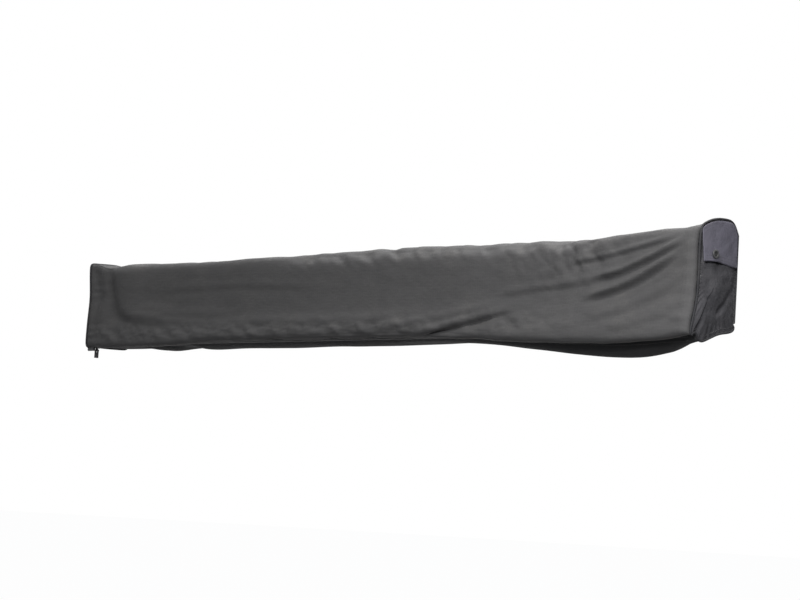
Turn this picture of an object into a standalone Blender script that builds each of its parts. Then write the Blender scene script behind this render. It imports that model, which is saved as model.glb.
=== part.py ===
"""Vehicle side awning of the fan kind, folded in its travel bag beside the roof.

A back rail bolts to two crossbars through L brackets. A hub casting at the rail's rear end carries
one upright pin, and four arms fold side by side from it. Each arm has a folded strip of canopy at
its side and a telescopic leg under it. A bag with a zip along its lower front edge closes over all.

X runs along the rail towards the vehicle's front, Y points to the vehicle, Z is up. The origin is
the midpoint between the two bracket feet, on the plane of the crossbars' tops. Metres.
"""

import math

import bmesh
import bpy
from mathutils import Matrix, Vector

# Clearances
GAP = 0.0003
RUNNING = 0.0003
HUB_WASHER = 0.0005
PAST = 0.01

# Travel bag
BAG_LENGTH = 1.98
BAG_HEIGHT = 0.193
BAG_DEPTH = 0.122
BAG_TOP_Z = 0.060
BAG_CENTRE_X = -0.17
TOP_FRONT_INSET = 0.004
TOP_CORNER = 0.008
TOP_CORNER_DROP = 0.010
BOTTOM_CORNER = 0.011
FABRIC = 0.0025
FRONT_SAG = 0.009
FRONT_SAG_X = 0.79
FRONT_SAG_REACH = 0.50
BELLY_SAG = 0.028
BELLY_Y = -0.128
TOP_DIP = 0.008
TOP_DIP_X = 0.55
TOP_DIP_REACH = 0.55
END_RISE = 0.018
END_EDGE_RISE = 0.009
END_RISE_REACH = 0.045
END_HEM = 0.012
FLOOR_SEAT = 0.005
FLOOR_CORNER = 0.015
FLOOR_SAG = 0.003
BAG_STATIONS = 19
KEDER_RADIUS = 0.0027

# Back rail
RAIL_FRONT_INSET = 0.037
RAIL_HEIGHT = 0.150
RAIL_DEPTH = 0.024
RAIL_TOP_Z = 0.046
RAIL_WALL = 0.0025
SLOT_MOUTH = 0.009
SLOT_WIDTH = 0.017
SLOT_DEPTH = 0.0065
SLOT_BACK_WALL = 0.002
UPPER_SLOT_Z = -0.022
LOWER_SLOT_Z = -0.072
KEDER_GROOVE = 0.0033
KEDER_MOUTH = 0.0024
CAP_THICKNESS = 0.004
CAP_CORNER = 0.003
TONGUE_LENGTH = 0.060

# Brackets
BRACKET_SPACING = 0.78
BRACKET_WIDTH = 0.056
BRACKET_PLATE = 0.005
BRACKET_BEND = 0.004
FOOT_REACH = 0.036
FOOT_CENTRE_TO_RAIL = 0.050
FOOT_SLOT_WIDTH = 0.009
FOOT_SLOT_LENGTH = 0.034
FOOT_SLOT_SPACING = 0.030
BOLT_RADIUS = 0.004
HUB_BOLT_RADIUS = 0.003
HUB_BOLT_DEPTH = 0.005
NUT_ACROSS = 0.013
NUT_HEIGHT = 0.0065
HEAD_CORNER = 0.002

# Hub
ARM_COUNT = 4
HUB_INSET = 0.045
PIN_RADIUS = 0.006
PIN_HEAD = 0.007
PIN_TAIL = 0.004
EYE_RADIUS = 0.017
EYE_HEIGHT = 0.020
STACK_TOP_Z = 0.034
LUG_RADIUS = 0.020
LUG_THICKNESS = 0.010
HUB_WEB = 0.022
HUB_TO_RAIL = 0.078
KNUCKLE_START = 0.050
KNUCKLE_LAP = 0.003
HUB_TO_TUBE = 0.082
SPIGOT_LENGTH = 0.040

# Arms
ARM_WIDTH = 0.018
ARM_HEIGHT = 0.040
ARM_WALL = 0.0015
ARM_TOP_Z = 0.028
ARM_FRONT_INSET = 0.065
ARM_CORNER = 0.002
LANE_GAP = 0.004
ARM_GROOVE = 0.0024
ARM_GROOVE_MOUTH = 0.0022
CANOPY_DROP_HUB = 0.030
CANOPY_DROP_TIP = 0.100

# Legs
LEG_WIDTH = 0.016
LEG_WALL = 0.0012
LEG_CORNER = 0.0015
LEG_LENGTH = 0.930
LEG_TO_ARM = 0.0055
LEG_PIVOT_REACH = 0.017
LEG_HEAD_REACH = 0.013
EAR_RADIUS = 0.009
TONGUE_WIDTH = 0.008
LEG_PIN_RADIUS = 0.003
CLAMP_LENGTH = 0.034
CLAMP_BUTTON = 0.0045
FOOT_LENGTH = 0.016
FORK_FLOOR = 0.0031
HEAD_PLUG = 0.022
TONGUE_ROOT = 0.003
INNER_CORNER = 0.0012

# Straps
STRAP_WIDTH = 0.025
STRAP_THICKNESS = 0.0013
STRAP_PLACES = {"strap_rear": -0.62, "strap_front": 0.24}

# Zip
ZIP_WIDTH = 0.0064
ZIP_THICKNESS = 0.003
ZIP_FROM_FRONT = 0.0185
ZIP_LIP = 0.0025
ZIP_CORNER = 0.001
SLIDER_LENGTH = 0.019
SLIDER_WIDTH = 0.009
SLIDER_HEIGHT = 0.0058
SLIDER_REST = 0.014
SLIDER_BEVEL = 0.002
LUG_WIDTH = 0.0032
PULL_LENGTH = 0.019
PULL_WIDTH = 0.011
PULL_THICKNESS = 0.0018
PULL_EYE = 0.0042
PULL_PIN_RADIUS = 0.0013

# Worked-out places
BAG_REAR_X = BAG_CENTRE_X - BAG_LENGTH / 2
BAG_FRONT_X = BAG_CENTRE_X + BAG_LENGTH / 2
BAG_BOTTOM_Z = BAG_TOP_Z - BAG_HEIGHT
RAIL_BACK_Y = -FOOT_CENTRE_TO_RAIL
RAIL_FRONT_Y = RAIL_BACK_Y - RAIL_DEPTH
RAIL_BOTTOM_Z = RAIL_TOP_Z - RAIL_HEIGHT
BAG_FRONT_Y = RAIL_BACK_Y - BAG_DEPTH
PIN_X = BAG_REAR_X + HUB_INSET
RAIL_REAR_X = PIN_X + HUB_TO_RAIL
RAIL_END_X = BAG_FRONT_X - RAIL_FRONT_INSET
LANE_PITCH = ARM_WIDTH + LANE_GAP
FIRST_LANE_Y = RAIL_FRONT_Y - LANE_GAP - ARM_WIDTH / 2
PIN_Y = FIRST_LANE_Y - LANE_PITCH * (ARM_COUNT - 1) / 2
EYE_PITCH = EYE_HEIGHT + HUB_WASHER
STACK_BOTTOM_Z = STACK_TOP_Z - ARM_COUNT * EYE_PITCH - HUB_WASHER
TUBE_START_X = PIN_X + HUB_TO_TUBE
TUBE_END_X = BAG_FRONT_X - ARM_FRONT_INSET
ARM_BOTTOM_Z = ARM_TOP_Z - ARM_HEIGHT
CAVITY_TOP_Z = ARM_TOP_Z - 2 * ARM_GROOVE - 2 * ARM_WALL
LEG_Z = ARM_BOTTOM_Z - LEG_TO_ARM - LEG_WIDTH / 2
LEG_PIVOT_X = TUBE_END_X + LEG_PIVOT_REACH
LEG_TOP_X = LEG_PIVOT_X - LEG_HEAD_REACH
LEG_END_X = LEG_TOP_X - LEG_LENGTH
INNER_WIDTH = LEG_WIDTH - 2 * LEG_WALL - 2 * RUNNING
KEDER_Y = RAIL_BACK_Y - RAIL_WALL - KEDER_GROOVE - RAIL_WALL / 2
KEDER_Z = RAIL_TOP_Z - RAIL_WALL - KEDER_GROOVE
SLOT_TOTAL = RAIL_WALL + SLOT_DEPTH + SLOT_BACK_WALL
CELL_SPLIT_Z = (UPPER_SLOT_Z + LOWER_SLOT_Z) / 2
CELL_TOP_Z = RAIL_TOP_Z - 2 * (RAIL_WALL + KEDER_GROOVE) - RAIL_WALL
ZIP_Y = BAG_FRONT_Y + ZIP_FROM_FRONT
SLIDER_X = BAG_REAR_X + SLIDER_REST
SLIDER_BOTTOM_Z = BAG_BOTTOM_Z - ZIP_THICKNESS / 2 - GAP - SLIDER_HEIGHT
PULL_Z = SLIDER_BOTTOM_Z - PULL_EYE

# Colours as red, green, blue, then roughness and metallic
FINISHES = {
    "bag_fabric": (0.075, 0.077, 0.080, 0.72, 0.0),
    "end_fabric": (0.080, 0.076, 0.088, 0.66, 0.0),
    "webbing": (0.020, 0.020, 0.022, 0.85, 0.0),
    "canopy_cloth": (0.36, 0.33, 0.27, 0.80, 0.0),
    "rail_alloy": (0.60, 0.61, 0.62, 0.35, 1.0),
    "arm_alloy": (0.46, 0.47, 0.48, 0.38, 1.0),
    "black_casting": (0.035, 0.035, 0.037, 0.45, 0.0),
    "zinc_steel": (0.56, 0.56, 0.54, 0.32, 1.0),
    "black_steel": (0.030, 0.030, 0.032, 0.50, 0.0),
    "black_plastic": (0.025, 0.025, 0.027, 0.55, 0.0),
    "rubber": (0.018, 0.018, 0.018, 0.90, 0.0),
}


def clear_scene():
    """Empty the scene that the script starts in."""
    for item in list(bpy.data.objects):
        bpy.data.objects.remove(item, do_unlink=True)


def finish(name):
    """Return the named material, made on first use."""
    made = bpy.data.materials.get(name)
    if made:
        return made
    red, green, blue, roughness, metallic = FINISHES[name]
    made = bpy.data.materials.new(name)
    made.use_nodes = True
    shader = made.node_tree.nodes["Principled BSDF"]
    shader.inputs["Base Color"].default_value = (red, green, blue, 1.0)
    shader.inputs["Roughness"].default_value = roughness
    shader.inputs["Metallic"].default_value = metallic
    return made


def add_object(name, work, material):
    """Turn a bmesh into a linked object with its material."""
    bmesh.ops.recalc_face_normals(work, faces=work.faces)
    mesh = bpy.data.meshes.new(name)
    work.to_mesh(mesh)
    work.free()
    made = bpy.data.objects.new(name, mesh)
    bpy.context.collection.objects.link(made)
    mesh.materials.append(finish(material))
    mesh.shade_smooth()
    mesh.set_sharp_from_angle(angle=math.radians(35))
    return made


def in_space(axis, first, second, along):
    """Place a flat outline's point: the two remaining axes keep their X, Y, Z order."""
    if axis == "X":
        return (along, first, second)
    if axis == "Y":
        return (first, along, second)
    return (first, second, along)


def prism(name, outline, axis, start, stop, material):
    """Extrude a closed outline along an axis between two places."""
    work = bmesh.new()
    low = [work.verts.new(in_space(axis, a, b, start)) for a, b in outline]
    face = work.faces.new(low)
    moved = bmesh.ops.extrude_face_region(work, geom=[face])
    lifted = [item for item in moved["geom"] if isinstance(item, bmesh.types.BMVert)]
    bmesh.ops.translate(work, verts=lifted, vec=in_space(axis, 0.0, 0.0, stop - start))
    return add_object(name, work, material)


def turned(name, profile, axis, centre, material, sides=20):
    """Turn a profile of (radius, height) points about an axis through a centre."""
    work = bmesh.new()
    rings = []
    for radius, height in profile:
        ring = []
        for step in range(sides):
            angle = 2 * math.pi * (step + 0.5) / sides
            first = radius * math.cos(angle)
            second = radius * math.sin(angle)
            point = Vector(in_space(axis, first, second, height)) + Vector(centre)
            ring.append(work.verts.new(point))
        rings.append(ring)
    for lower, upper in zip(rings, rings[1:]):
        for step in range(sides):
            after = (step + 1) % sides
            work.faces.new((lower[step], lower[after], upper[after], upper[step]))
    work.faces.new(rings[0])
    work.faces.new(rings[-1])
    return add_object(name, work, material)


def sheet_solid(name, rows, material, thickness):
    """Skin a grid of points and thicken it away from its outer side."""
    work = bmesh.new()
    grid = [[work.verts.new(point) for point in row] for row in rows]
    for near, far in zip(grid, grid[1:]):
        for step in range(len(near) - 1):
            work.faces.new((near[step], near[step + 1], far[step + 1], far[step]))
    mesh = bpy.data.meshes.new(name)
    work.to_mesh(mesh)
    work.free()
    made = bpy.data.objects.new(name, mesh)
    bpy.context.collection.objects.link(made)
    mesh.materials.append(finish(material))
    mesh.shade_smooth()
    solid = made.modifiers.new("thickness", "SOLIDIFY")
    solid.thickness = thickness
    solid.offset = -1.0
    solid.use_even_offset = True
    return made


def change(target, other, operation):
    """Add a Boolean of a hidden guide to an object."""
    other.hide_render = True
    other.display_type = "WIRE"
    step = target.modifiers.new(operation.lower(), "BOOLEAN")
    step.operation = operation
    step.object = other
    step.solver = "EXACT"
    return target


def cut(target, *cutters):
    """Cut hidden guides out of an object."""
    for cutter in cutters:
        change(target, cutter, "DIFFERENCE")
    return target


def fuse(target, *others):
    """Join hidden guides to an object as one body."""
    for other in others:
        change(target, other, "UNION")
    return target


def pivot(name, place, parent=None):
    """Make an empty on a joint's axis."""
    made = bpy.data.objects.new(name, None)
    bpy.context.collection.objects.link(made)
    made.empty_display_size = 0.03
    made["place"] = place
    start = Vector(parent["place"]) if parent else Vector((0.0, 0.0, 0.0))
    made.location = Vector(place) - start
    made.parent = parent
    return made


def carry(parent, *pieces):
    """Hang pieces on an empty, which keeps them where they are."""
    for piece in pieces:
        piece.data.transform(Matrix.Translation(-Vector(parent["place"])))
        piece.parent = parent


def box_outline(first_low, first_high, second_low, second_high):
    """Return a rectangle's corners."""
    return [
        (first_low, second_low),
        (first_high, second_low),
        (first_high, second_high),
        (first_low, second_high),
    ]


def rounded_box(first_low, first_high, second_low, second_high, radius, steps=2):
    """Return a rectangle's outline with round corners."""
    corners = [
        (first_high - radius, second_high - radius, 0.0),
        (first_low + radius, second_high - radius, 90.0),
        (first_low + radius, second_low + radius, 180.0),
        (first_high - radius, second_low + radius, 270.0),
    ]
    outline = []
    for first, second, start in corners:
        outline.extend(arc(first, second, radius, start, start + 90.0, steps))
    return outline


def arc(first, second, radius, start, stop, steps):
    """Return points on an arc, in degrees, both ends included."""
    points = []
    for step in range(steps + 1):
        angle = math.radians(start + (stop - start) * step / steps)
        points.append((first + radius * math.cos(angle), second + radius * math.sin(angle)))
    return points


def hull(points):
    """Return the convex outline around points, anticlockwise."""
    ordered = sorted(set(points))

    def half(run):
        side = []
        for point in run:
            while len(side) > 1 and turn(side[-2], side[-1], point) <= 0:
                side.pop()
            side.append(point)
        return side[:-1]

    return half(ordered) + half(ordered[::-1])


def turn(first, second, third):
    """Return twice the signed area of a triangle."""
    return (second[0] - first[0]) * (third[1] - first[1]) - (
        second[1] - first[1]
    ) * (third[0] - first[0])


def drill(name, axis, centre, radius, half_length, sides=16):
    """Return a round cutter along an axis."""
    profile = [(radius, -half_length), (radius, half_length)]
    return turned(name, profile, axis, centre, "black_steel", sides)


def bump(place, middle, reach):
    """Return a smooth bump of height one, zero beyond its reach."""
    share = min(abs(place - middle) / reach, 1.0)
    return (0.5 + 0.5 * math.cos(math.pi * share)) ** 1.2


def lane_y(number):
    """Return the Y of an arm's centre line, arm 1 beside the rail."""
    return FIRST_LANE_Y - (number - 1) * LANE_PITCH


def keyhole(first, second, radius, mouth, edge, up):
    """Return a keder groove's outline that opens at an edge, walked from its low side to its high.

    The groove opens along +second when up is true and along -first otherwise.
    """
    opening = math.degrees(math.asin(mouth / 2 / radius))
    if up:
        ring = arc(first, second, radius, 90 - opening, 90 - 360 + opening, 8)
        return [(first + mouth / 2, edge), *ring, (first - mouth / 2, edge)]
    ring = arc(first, second, radius, 180 - opening, 180 - 360 + opening, 8)
    return [(edge, second + mouth / 2), *ring, (edge, second - mouth / 2)]


def rail_outline():
    """Return the rail's section: two T slots behind, a groove on top and one in front."""
    outline = [(RAIL_BACK_Y, RAIL_BOTTOM_Z)]
    lip = RAIL_BACK_Y - RAIL_WALL
    floor = lip - SLOT_DEPTH
    for middle in (LOWER_SLOT_Z, UPPER_SLOT_Z):
        outline += [
            (RAIL_BACK_Y, middle - SLOT_MOUTH / 2),
            (lip, middle - SLOT_MOUTH / 2),
            (lip, middle - SLOT_WIDTH / 2),
            (floor, middle - SLOT_WIDTH / 2),
            (floor, middle + SLOT_WIDTH / 2),
            (lip, middle + SLOT_WIDTH / 2),
            (lip, middle + SLOT_MOUTH / 2),
            (RAIL_BACK_Y, middle + SLOT_MOUTH / 2),
        ]
    outline.append((RAIL_BACK_Y, RAIL_TOP_Z))
    outline += keyhole(KEDER_Y, KEDER_Z, KEDER_GROOVE, KEDER_MOUTH, RAIL_TOP_Z, True)
    outline.append((RAIL_FRONT_Y, RAIL_TOP_Z))
    groove_y = RAIL_FRONT_Y + RAIL_WALL + KEDER_GROOVE
    outline += keyhole(groove_y, KEDER_Z, KEDER_GROOVE, KEDER_MOUTH, RAIL_FRONT_Y, False)
    outline.append((RAIL_FRONT_Y, RAIL_BOTTOM_Z))
    return outline


def rail_cell(low, high, slot):
    """Return one hollow of the rail, which wraps round the back of a T slot."""
    back = RAIL_BACK_Y - RAIL_WALL
    behind = RAIL_BACK_Y - SLOT_TOTAL
    front = RAIL_FRONT_Y + RAIL_WALL
    reach = SLOT_WIDTH / 2 + SLOT_BACK_WALL
    return [
        (front, low),
        (back, low),
        (back, slot - reach),
        (behind, slot - reach),
        (behind, slot + reach),
        (back, slot + reach),
        (back, high),
        (front, high),
    ]


def cell_ranges():
    """Return the Z range of the rail's two hollows with the T slot that each wraps."""
    lower = (RAIL_BOTTOM_Z + RAIL_WALL, CELL_SPLIT_Z - RAIL_WALL / 2, LOWER_SLOT_Z)
    upper = (CELL_SPLIT_Z + RAIL_WALL / 2, CELL_TOP_Z, UPPER_SLOT_Z)
    return (lower, upper)


def hub_bolt_places():
    """Return the X and Z of the bolts that hold the casting's tongues in the rail."""
    (low, _, lower_slot), (_, high, upper_slot) = cell_ranges()
    reach = SLOT_WIDTH / 2 + SLOT_BACK_WALL
    heights = ((low + lower_slot - reach) / 2, (high + upper_slot + reach) / 2)
    return [(RAIL_REAR_X + TONGUE_LENGTH / 2, z) for z in heights]


def make_rail():
    """Make the hollow back rail with its bolt holes, and its front end cap."""
    rail = prism("back_rail", rail_outline(), "X", RAIL_REAR_X, RAIL_END_X, "rail_alloy")
    for number, (low, high, slot) in enumerate(cell_ranges()):
        cell = rail_cell(low, high, slot)
        cutter = prism(
            f"guide_cell_{number}", cell, "X", RAIL_REAR_X - PAST, RAIL_END_X + PAST, "rail_alloy"
        )
        cut(rail, cutter)
    for number, (x, z) in enumerate(hub_bolt_places()):
        centre = (x, RAIL_BACK_Y, z)
        hole = HUB_BOLT_RADIUS + GAP
        cut(rail, drill(f"guide_hub_hole_{number}", "Y", centre, hole, RAIL_WALL * 2, 12))
    plate = rounded_box(RAIL_FRONT_Y, RAIL_BACK_Y, RAIL_BOTTOM_Z, RAIL_TOP_Z, CAP_CORNER)
    start = RAIL_END_X + GAP
    cap = prism("rail_cap_front", plate, "X", start, start + CAP_THICKNESS, "black_plastic")
    for number, outline in enumerate(tongue_outlines()):
        depth = TONGUE_LENGTH / 3
        plug = prism(
            f"guide_cap_plug_{number}", outline, "X", start - depth, start + CAP_THICKNESS / 2,
            "black_plastic",
        )
        fuse(cap, plug)


def tongue_outlines():
    """Return the outlines of the plugs that fill the front part of the rail's hollows."""
    back = RAIL_BACK_Y - SLOT_TOTAL - GAP
    front = RAIL_FRONT_Y + RAIL_WALL + GAP
    outlines = []
    for low, high, _ in cell_ranges():
        outlines.append(box_outline(front, back, low + GAP, high - GAP))
    return outlines


def make_hub():
    """Make the C-shaped casting, its pin and nut, and the bolts into the rail."""
    web_start = RAIL_REAR_X - GAP - HUB_WEB
    web_end = RAIL_REAR_X - GAP
    boss = arc(PIN_X, PIN_Y, LUG_RADIUS, 0.0, 345.0, 23)
    plan = hull(boss + box_outline(web_start, web_end, RAIL_FRONT_Y, RAIL_BACK_Y))
    top = STACK_TOP_Z + LUG_THICKNESS
    bottom = STACK_BOTTOM_Z - LUG_THICKNESS
    casting = prism("hub_casting", plan, "Z", bottom, top, "black_casting")
    far = LUG_RADIUS * 2
    throat = prism(
        "guide_throat", box_outline(PIN_X - far, web_start, PIN_Y - far, RAIL_BACK_Y + far),
        "Z", STACK_BOTTOM_Z, STACK_TOP_Z, "black_casting",
    )
    beside = prism(
        "guide_beside_web", box_outline(PIN_X, web_end + far, PIN_Y - far, RAIL_FRONT_Y),
        "Z", STACK_BOTTOM_Z, STACK_TOP_Z, "black_casting",
    )
    middle = (top + bottom) / 2
    through = top - bottom
    bore = drill("guide_pin_bore", "Z", (PIN_X, PIN_Y, middle), PIN_RADIUS + RUNNING, through, 20)
    cut(casting, throat, beside, bore)
    for number, outline in enumerate(tongue_outlines()):
        tongue = prism(
            f"guide_tongue_{number}", outline, "X", web_end - HUB_WEB / 3,
            RAIL_REAR_X + TONGUE_LENGTH, "black_casting",
        )
        fuse(casting, tongue)
    tongue_y = RAIL_BACK_Y - SLOT_TOTAL - GAP
    shank = HUB_BOLT_RADIUS
    for side, (x, z) in zip(("lower", "upper"), hub_bolt_places()):
        hole_centre = (x, tongue_y, z)
        deep = 1.2 * HUB_BOLT_DEPTH
        cut(casting, drill(f"guide_bolt_hole_{side}", "Y", hole_centre, shank + GAP, deep, 12))
        profile = [
            (shank, tongue_y - HUB_BOLT_DEPTH),
            (shank, RAIL_BACK_Y + GAP),
            (shank * 1.9, RAIL_BACK_Y + GAP),
            (shank * 1.6, RAIL_BACK_Y + GAP + shank),
        ]
        turned(f"hub_bolt_{side}", profile, "Y", (x, 0.0, z), "zinc_steel", 12)
    make_pin(top, bottom)


def make_pin(top, bottom):
    """Make the hub's pin, headed above, with its nut below."""
    head = NUT_ACROSS * 0.75
    tail = PIN_HEAD + PIN_TAIL
    profile = [
        (PIN_RADIUS, bottom - tail),
        (PIN_RADIUS, top + GAP),
        (head, top + GAP),
        (head, top + GAP + PIN_HEAD * 0.7),
        (head * 0.8, top + GAP + PIN_HEAD),
    ]
    turned("pivot_pin", profile, "Z", (PIN_X, PIN_Y, 0.0), "zinc_steel", 20)
    nut_outline = arc(PIN_X, PIN_Y, head * 1.1, 0.0, 300.0, 5)
    nut = prism("pivot_nut", nut_outline, "Z", bottom - GAP - PIN_HEAD, bottom - GAP, "zinc_steel")
    cut(nut, drill("guide_nut_bore", "Z", (PIN_X, PIN_Y, bottom), PIN_RADIUS + GAP, 4 * PIN_HEAD, 20))


def make_brackets():
    """Make the two L brackets with their T bolts and nuts."""
    inner = RAIL_BACK_Y + GAP + BRACKET_PLATE
    lower_end = LOWER_SLOT_Z - NUT_ACROSS * 1.2
    bend = BRACKET_BEND + BRACKET_PLATE
    outline = [
        (RAIL_BACK_Y + GAP, lower_end),
        (inner, lower_end),
        *reversed(arc(inner + BRACKET_BEND, -BRACKET_BEND, BRACKET_BEND, 90.0, 180.0, 3)),
        (FOOT_REACH, 0.0),
        (FOOT_REACH, BRACKET_PLATE),
        *arc(inner + BRACKET_BEND, -BRACKET_BEND, bend, 90.0, 180.0, 3),
    ]
    for side, sign in (("front", 1), ("rear", -1)):
        middle = sign * BRACKET_SPACING / 2
        low = middle - BRACKET_WIDTH / 2
        high = middle + BRACKET_WIDTH / 2
        bracket = prism(f"bracket_{side}", outline, "X", low, high, "black_steel")
        for number, step in enumerate((-1, 1)):
            x = middle + step * FOOT_SLOT_SPACING / 2
            reach = FOOT_SLOT_LENGTH / 2 - FOOT_SLOT_WIDTH / 2
            radius = FOOT_SLOT_WIDTH / 2
            slot = arc(x, reach, radius, 0.0, 180.0, 6)
            slot += arc(x, -reach, radius, 180.0, 360.0, 6)
            cutter = prism(
                f"guide_slot_{side}_{number}", slot, "Z", -BRACKET_PLATE, 2 * BRACKET_PLATE,
                "black_steel",
            )
            cut(bracket, cutter)
        for number, z in enumerate((LOWER_SLOT_Z, UPPER_SLOT_Z)):
            centre = (middle, RAIL_BACK_Y, z)
            hole = drill(
                f"guide_bolt_{side}_{number}", "Y", centre, BOLT_RADIUS + GAP, BRACKET_PLATE * 2, 14
            )
            cut(bracket, hole)
    make_bracket_bolts(inner)


def make_bracket_bolts(inner):
    """Make the four T bolts, whose heads lie in the rail's slots, each with its nut run on."""
    head_top = RAIL_BACK_Y - RAIL_WALL - GAP
    head_floor = head_top - (SLOT_DEPTH - 2 * GAP)
    half = SLOT_WIDTH / 2 - GAP
    nut_start = inner + GAP
    nut_end = nut_start + NUT_HEIGHT
    for side, sign in (("front", 1), ("rear", -1)):
        x = sign * BRACKET_SPACING / 2
        for level, z in (("upper", UPPER_SLOT_Z), ("lower", LOWER_SLOT_Z)):
            outline = rounded_box(
                x - half * 0.8, x + half * 0.8, z - half, z + half, HEAD_CORNER, 1
            )
            bolt = prism(
                f"t_bolt_{side}_{level}", outline, "Y", head_floor, head_top, "zinc_steel"
            )
            start = (head_floor + head_top) / 2
            profile = [
                (BOLT_RADIUS, start),
                (BOLT_RADIUS, nut_end + BOLT_RADIUS * 0.8),
                (BOLT_RADIUS * 0.8, nut_end + BOLT_RADIUS),
            ]
            shank = turned(
                f"guide_shank_{side}_{level}", profile, "Y", (x, 0.0, z), "zinc_steel", 14
            )
            hexagon = arc(x, z, NUT_ACROSS / math.sqrt(3), 0.0, 300.0, 5)
            nut = prism(
                f"guide_nut_{side}_{level}", hexagon, "Y", nut_start, nut_end, "zinc_steel"
            )
            fuse(bolt, shank, nut)


def make_arm(number, parent):
    """Make one arm with its knuckle, tube, tip fork and leg pin. Return its hub empty."""
    axis = pivot(f"hub_axis_{number}", (PIN_X, PIN_Y, 0.0), parent)
    lane = lane_y(number)
    half = ARM_WIDTH / 2
    carry(axis, *make_knuckle(number, lane, half))
    outline = arm_outline(lane, half)
    tube = prism(f"arm_{number}_tube", outline, "X", TUBE_START_X, TUBE_END_X, "arm_alloy")
    hollow = prism(
        f"guide_arm_hollow_{number}", arm_cavity(lane, half, 0.0), "X", TUBE_START_X - PAST,
        TUBE_END_X + PAST, "arm_alloy",
    )
    cut(tube, hollow)
    fork = make_fork(number, lane, half)
    pin_half = half + RUNNING
    pin = turned(
        f"leg_{number}_pin", [(LEG_PIN_RADIUS, -pin_half), (LEG_PIN_RADIUS, pin_half)], "Y",
        (LEG_PIVOT_X, lane, LEG_Z), "zinc_steel", 12,
    )
    carry(axis, tube, *fork, pin, make_canopy(number, lane), hollow)
    return axis


def arm_outline(lane, half):
    """Return an arm's section: a round-cornered box with a keder groove on top."""
    outline = arc(lane + half - ARM_CORNER, ARM_TOP_Z - ARM_CORNER, ARM_CORNER, 0.0, 90.0, 2)
    groove_z = ARM_TOP_Z - ARM_WALL - ARM_GROOVE
    outline += keyhole(lane, groove_z, ARM_GROOVE, ARM_GROOVE_MOUTH, ARM_TOP_Z, True)
    corners = [
        (lane - half + ARM_CORNER, ARM_TOP_Z - ARM_CORNER, 90.0),
        (lane - half + ARM_CORNER, ARM_BOTTOM_Z + ARM_CORNER, 180.0),
        (lane + half - ARM_CORNER, ARM_BOTTOM_Z + ARM_CORNER, 270.0),
    ]
    for y, z, start in corners:
        outline += arc(y, z, ARM_CORNER, start, start + 90.0, 2)
    return outline


def arm_cavity(lane, half, clearance):
    """Return the hollow of an arm's tube, or with a clearance what fits in it."""
    inset = ARM_WALL + clearance
    return box_outline(
        lane - half + inset, lane + half - inset, ARM_BOTTOM_Z + inset, CAVITY_TOP_Z - clearance
    )


def make_knuckle(number, lane, half):
    """Make the knuckle: an eye on the pin, an offset plate, a block and a spigot in the tube."""
    level_top = STACK_TOP_Z - HUB_WASHER - (number - 1) * EYE_PITCH
    level_bottom = level_top - EYE_HEIGHT
    eye = arc(PIN_X, PIN_Y, EYE_RADIUS, 0.0, 345.0, 23)
    block_start = PIN_X + KNUCKLE_START
    block_end = TUBE_START_X - GAP
    toe = box_outline(block_start, block_start + KNUCKLE_LAP, lane - half, lane + half)
    knuckle = prism(
        f"arm_{number}_knuckle", hull(eye + toe), "Z", level_bottom, level_top, "black_casting"
    )
    low = min(level_bottom, ARM_BOTTOM_Z)
    high = max(level_top, ARM_TOP_Z)
    block_outline = [
        (block_start, level_bottom),
        (block_start + ARM_WIDTH, low),
        (block_end, ARM_BOTTOM_Z),
        (block_end, ARM_TOP_Z),
        (block_start + ARM_WIDTH, high),
        (block_start, level_top),
    ]
    inside = half - 0.00005
    block = prism(
        f"guide_block_{number}", block_outline, "Y", lane - inside, lane + inside, "black_casting"
    )
    spigot = prism(
        f"guide_spigot_{number}", arm_cavity(lane, half, GAP), "X", block_end - KNUCKLE_LAP,
        TUBE_START_X + SPIGOT_LENGTH, "black_casting",
    )
    level = (level_top + level_bottom) / 2
    bore = drill(
        f"guide_eye_{number}", "Z", (PIN_X, PIN_Y, level), PIN_RADIUS + RUNNING, EYE_HEIGHT, 20
    )
    fuse(knuckle, block, spigot)
    cut(knuckle, bore)
    return [knuckle, block, spigot, bore]


def make_fork(number, lane, half):
    """Make the fork at an arm's tip, with a plug in the tube and two ears round the leg's head."""
    start = TUBE_END_X + GAP
    nose = LEG_PIVOT_X + EAR_RADIUS
    outline = [
        (start, ARM_TOP_Z),
        (start, ARM_BOTTOM_Z),
        (LEG_PIVOT_X - EAR_RADIUS, ARM_BOTTOM_Z),
        *arc(LEG_PIVOT_X, LEG_Z, EAR_RADIUS, 180.0, 360.0, 8),
        (nose, ARM_TOP_Z - EAR_RADIUS),
        (nose - EAR_RADIUS / 2, ARM_TOP_Z),
    ]
    fork = prism(f"arm_{number}_tip", outline, "Y", lane - half, lane + half, "black_casting")
    plug = prism(
        f"guide_plug_{number}", arm_cavity(lane, half, GAP), "X", TUBE_END_X - SPIGOT_LENGTH,
        start + FORK_FLOOR, "black_casting",
    )
    slot_half = TONGUE_WIDTH / 2 + RUNNING
    slot = prism(
        f"guide_fork_slot_{number}",
        box_outline(start + FORK_FLOOR, nose + PAST, lane - slot_half, lane + slot_half),
        "Z", LEG_Z - 2 * EAR_RADIUS, LEG_Z + EAR_RADIUS, "black_casting",
    )
    bore = drill(
        f"guide_leg_bore_{number}", "Y", (LEG_PIVOT_X, lane, LEG_Z), LEG_PIN_RADIUS + RUNNING,
        ARM_WIDTH, 12,
    )
    fuse(fork, plug)
    cut(fork, slot, bore)
    return [fork, plug, slot, bore]


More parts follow.
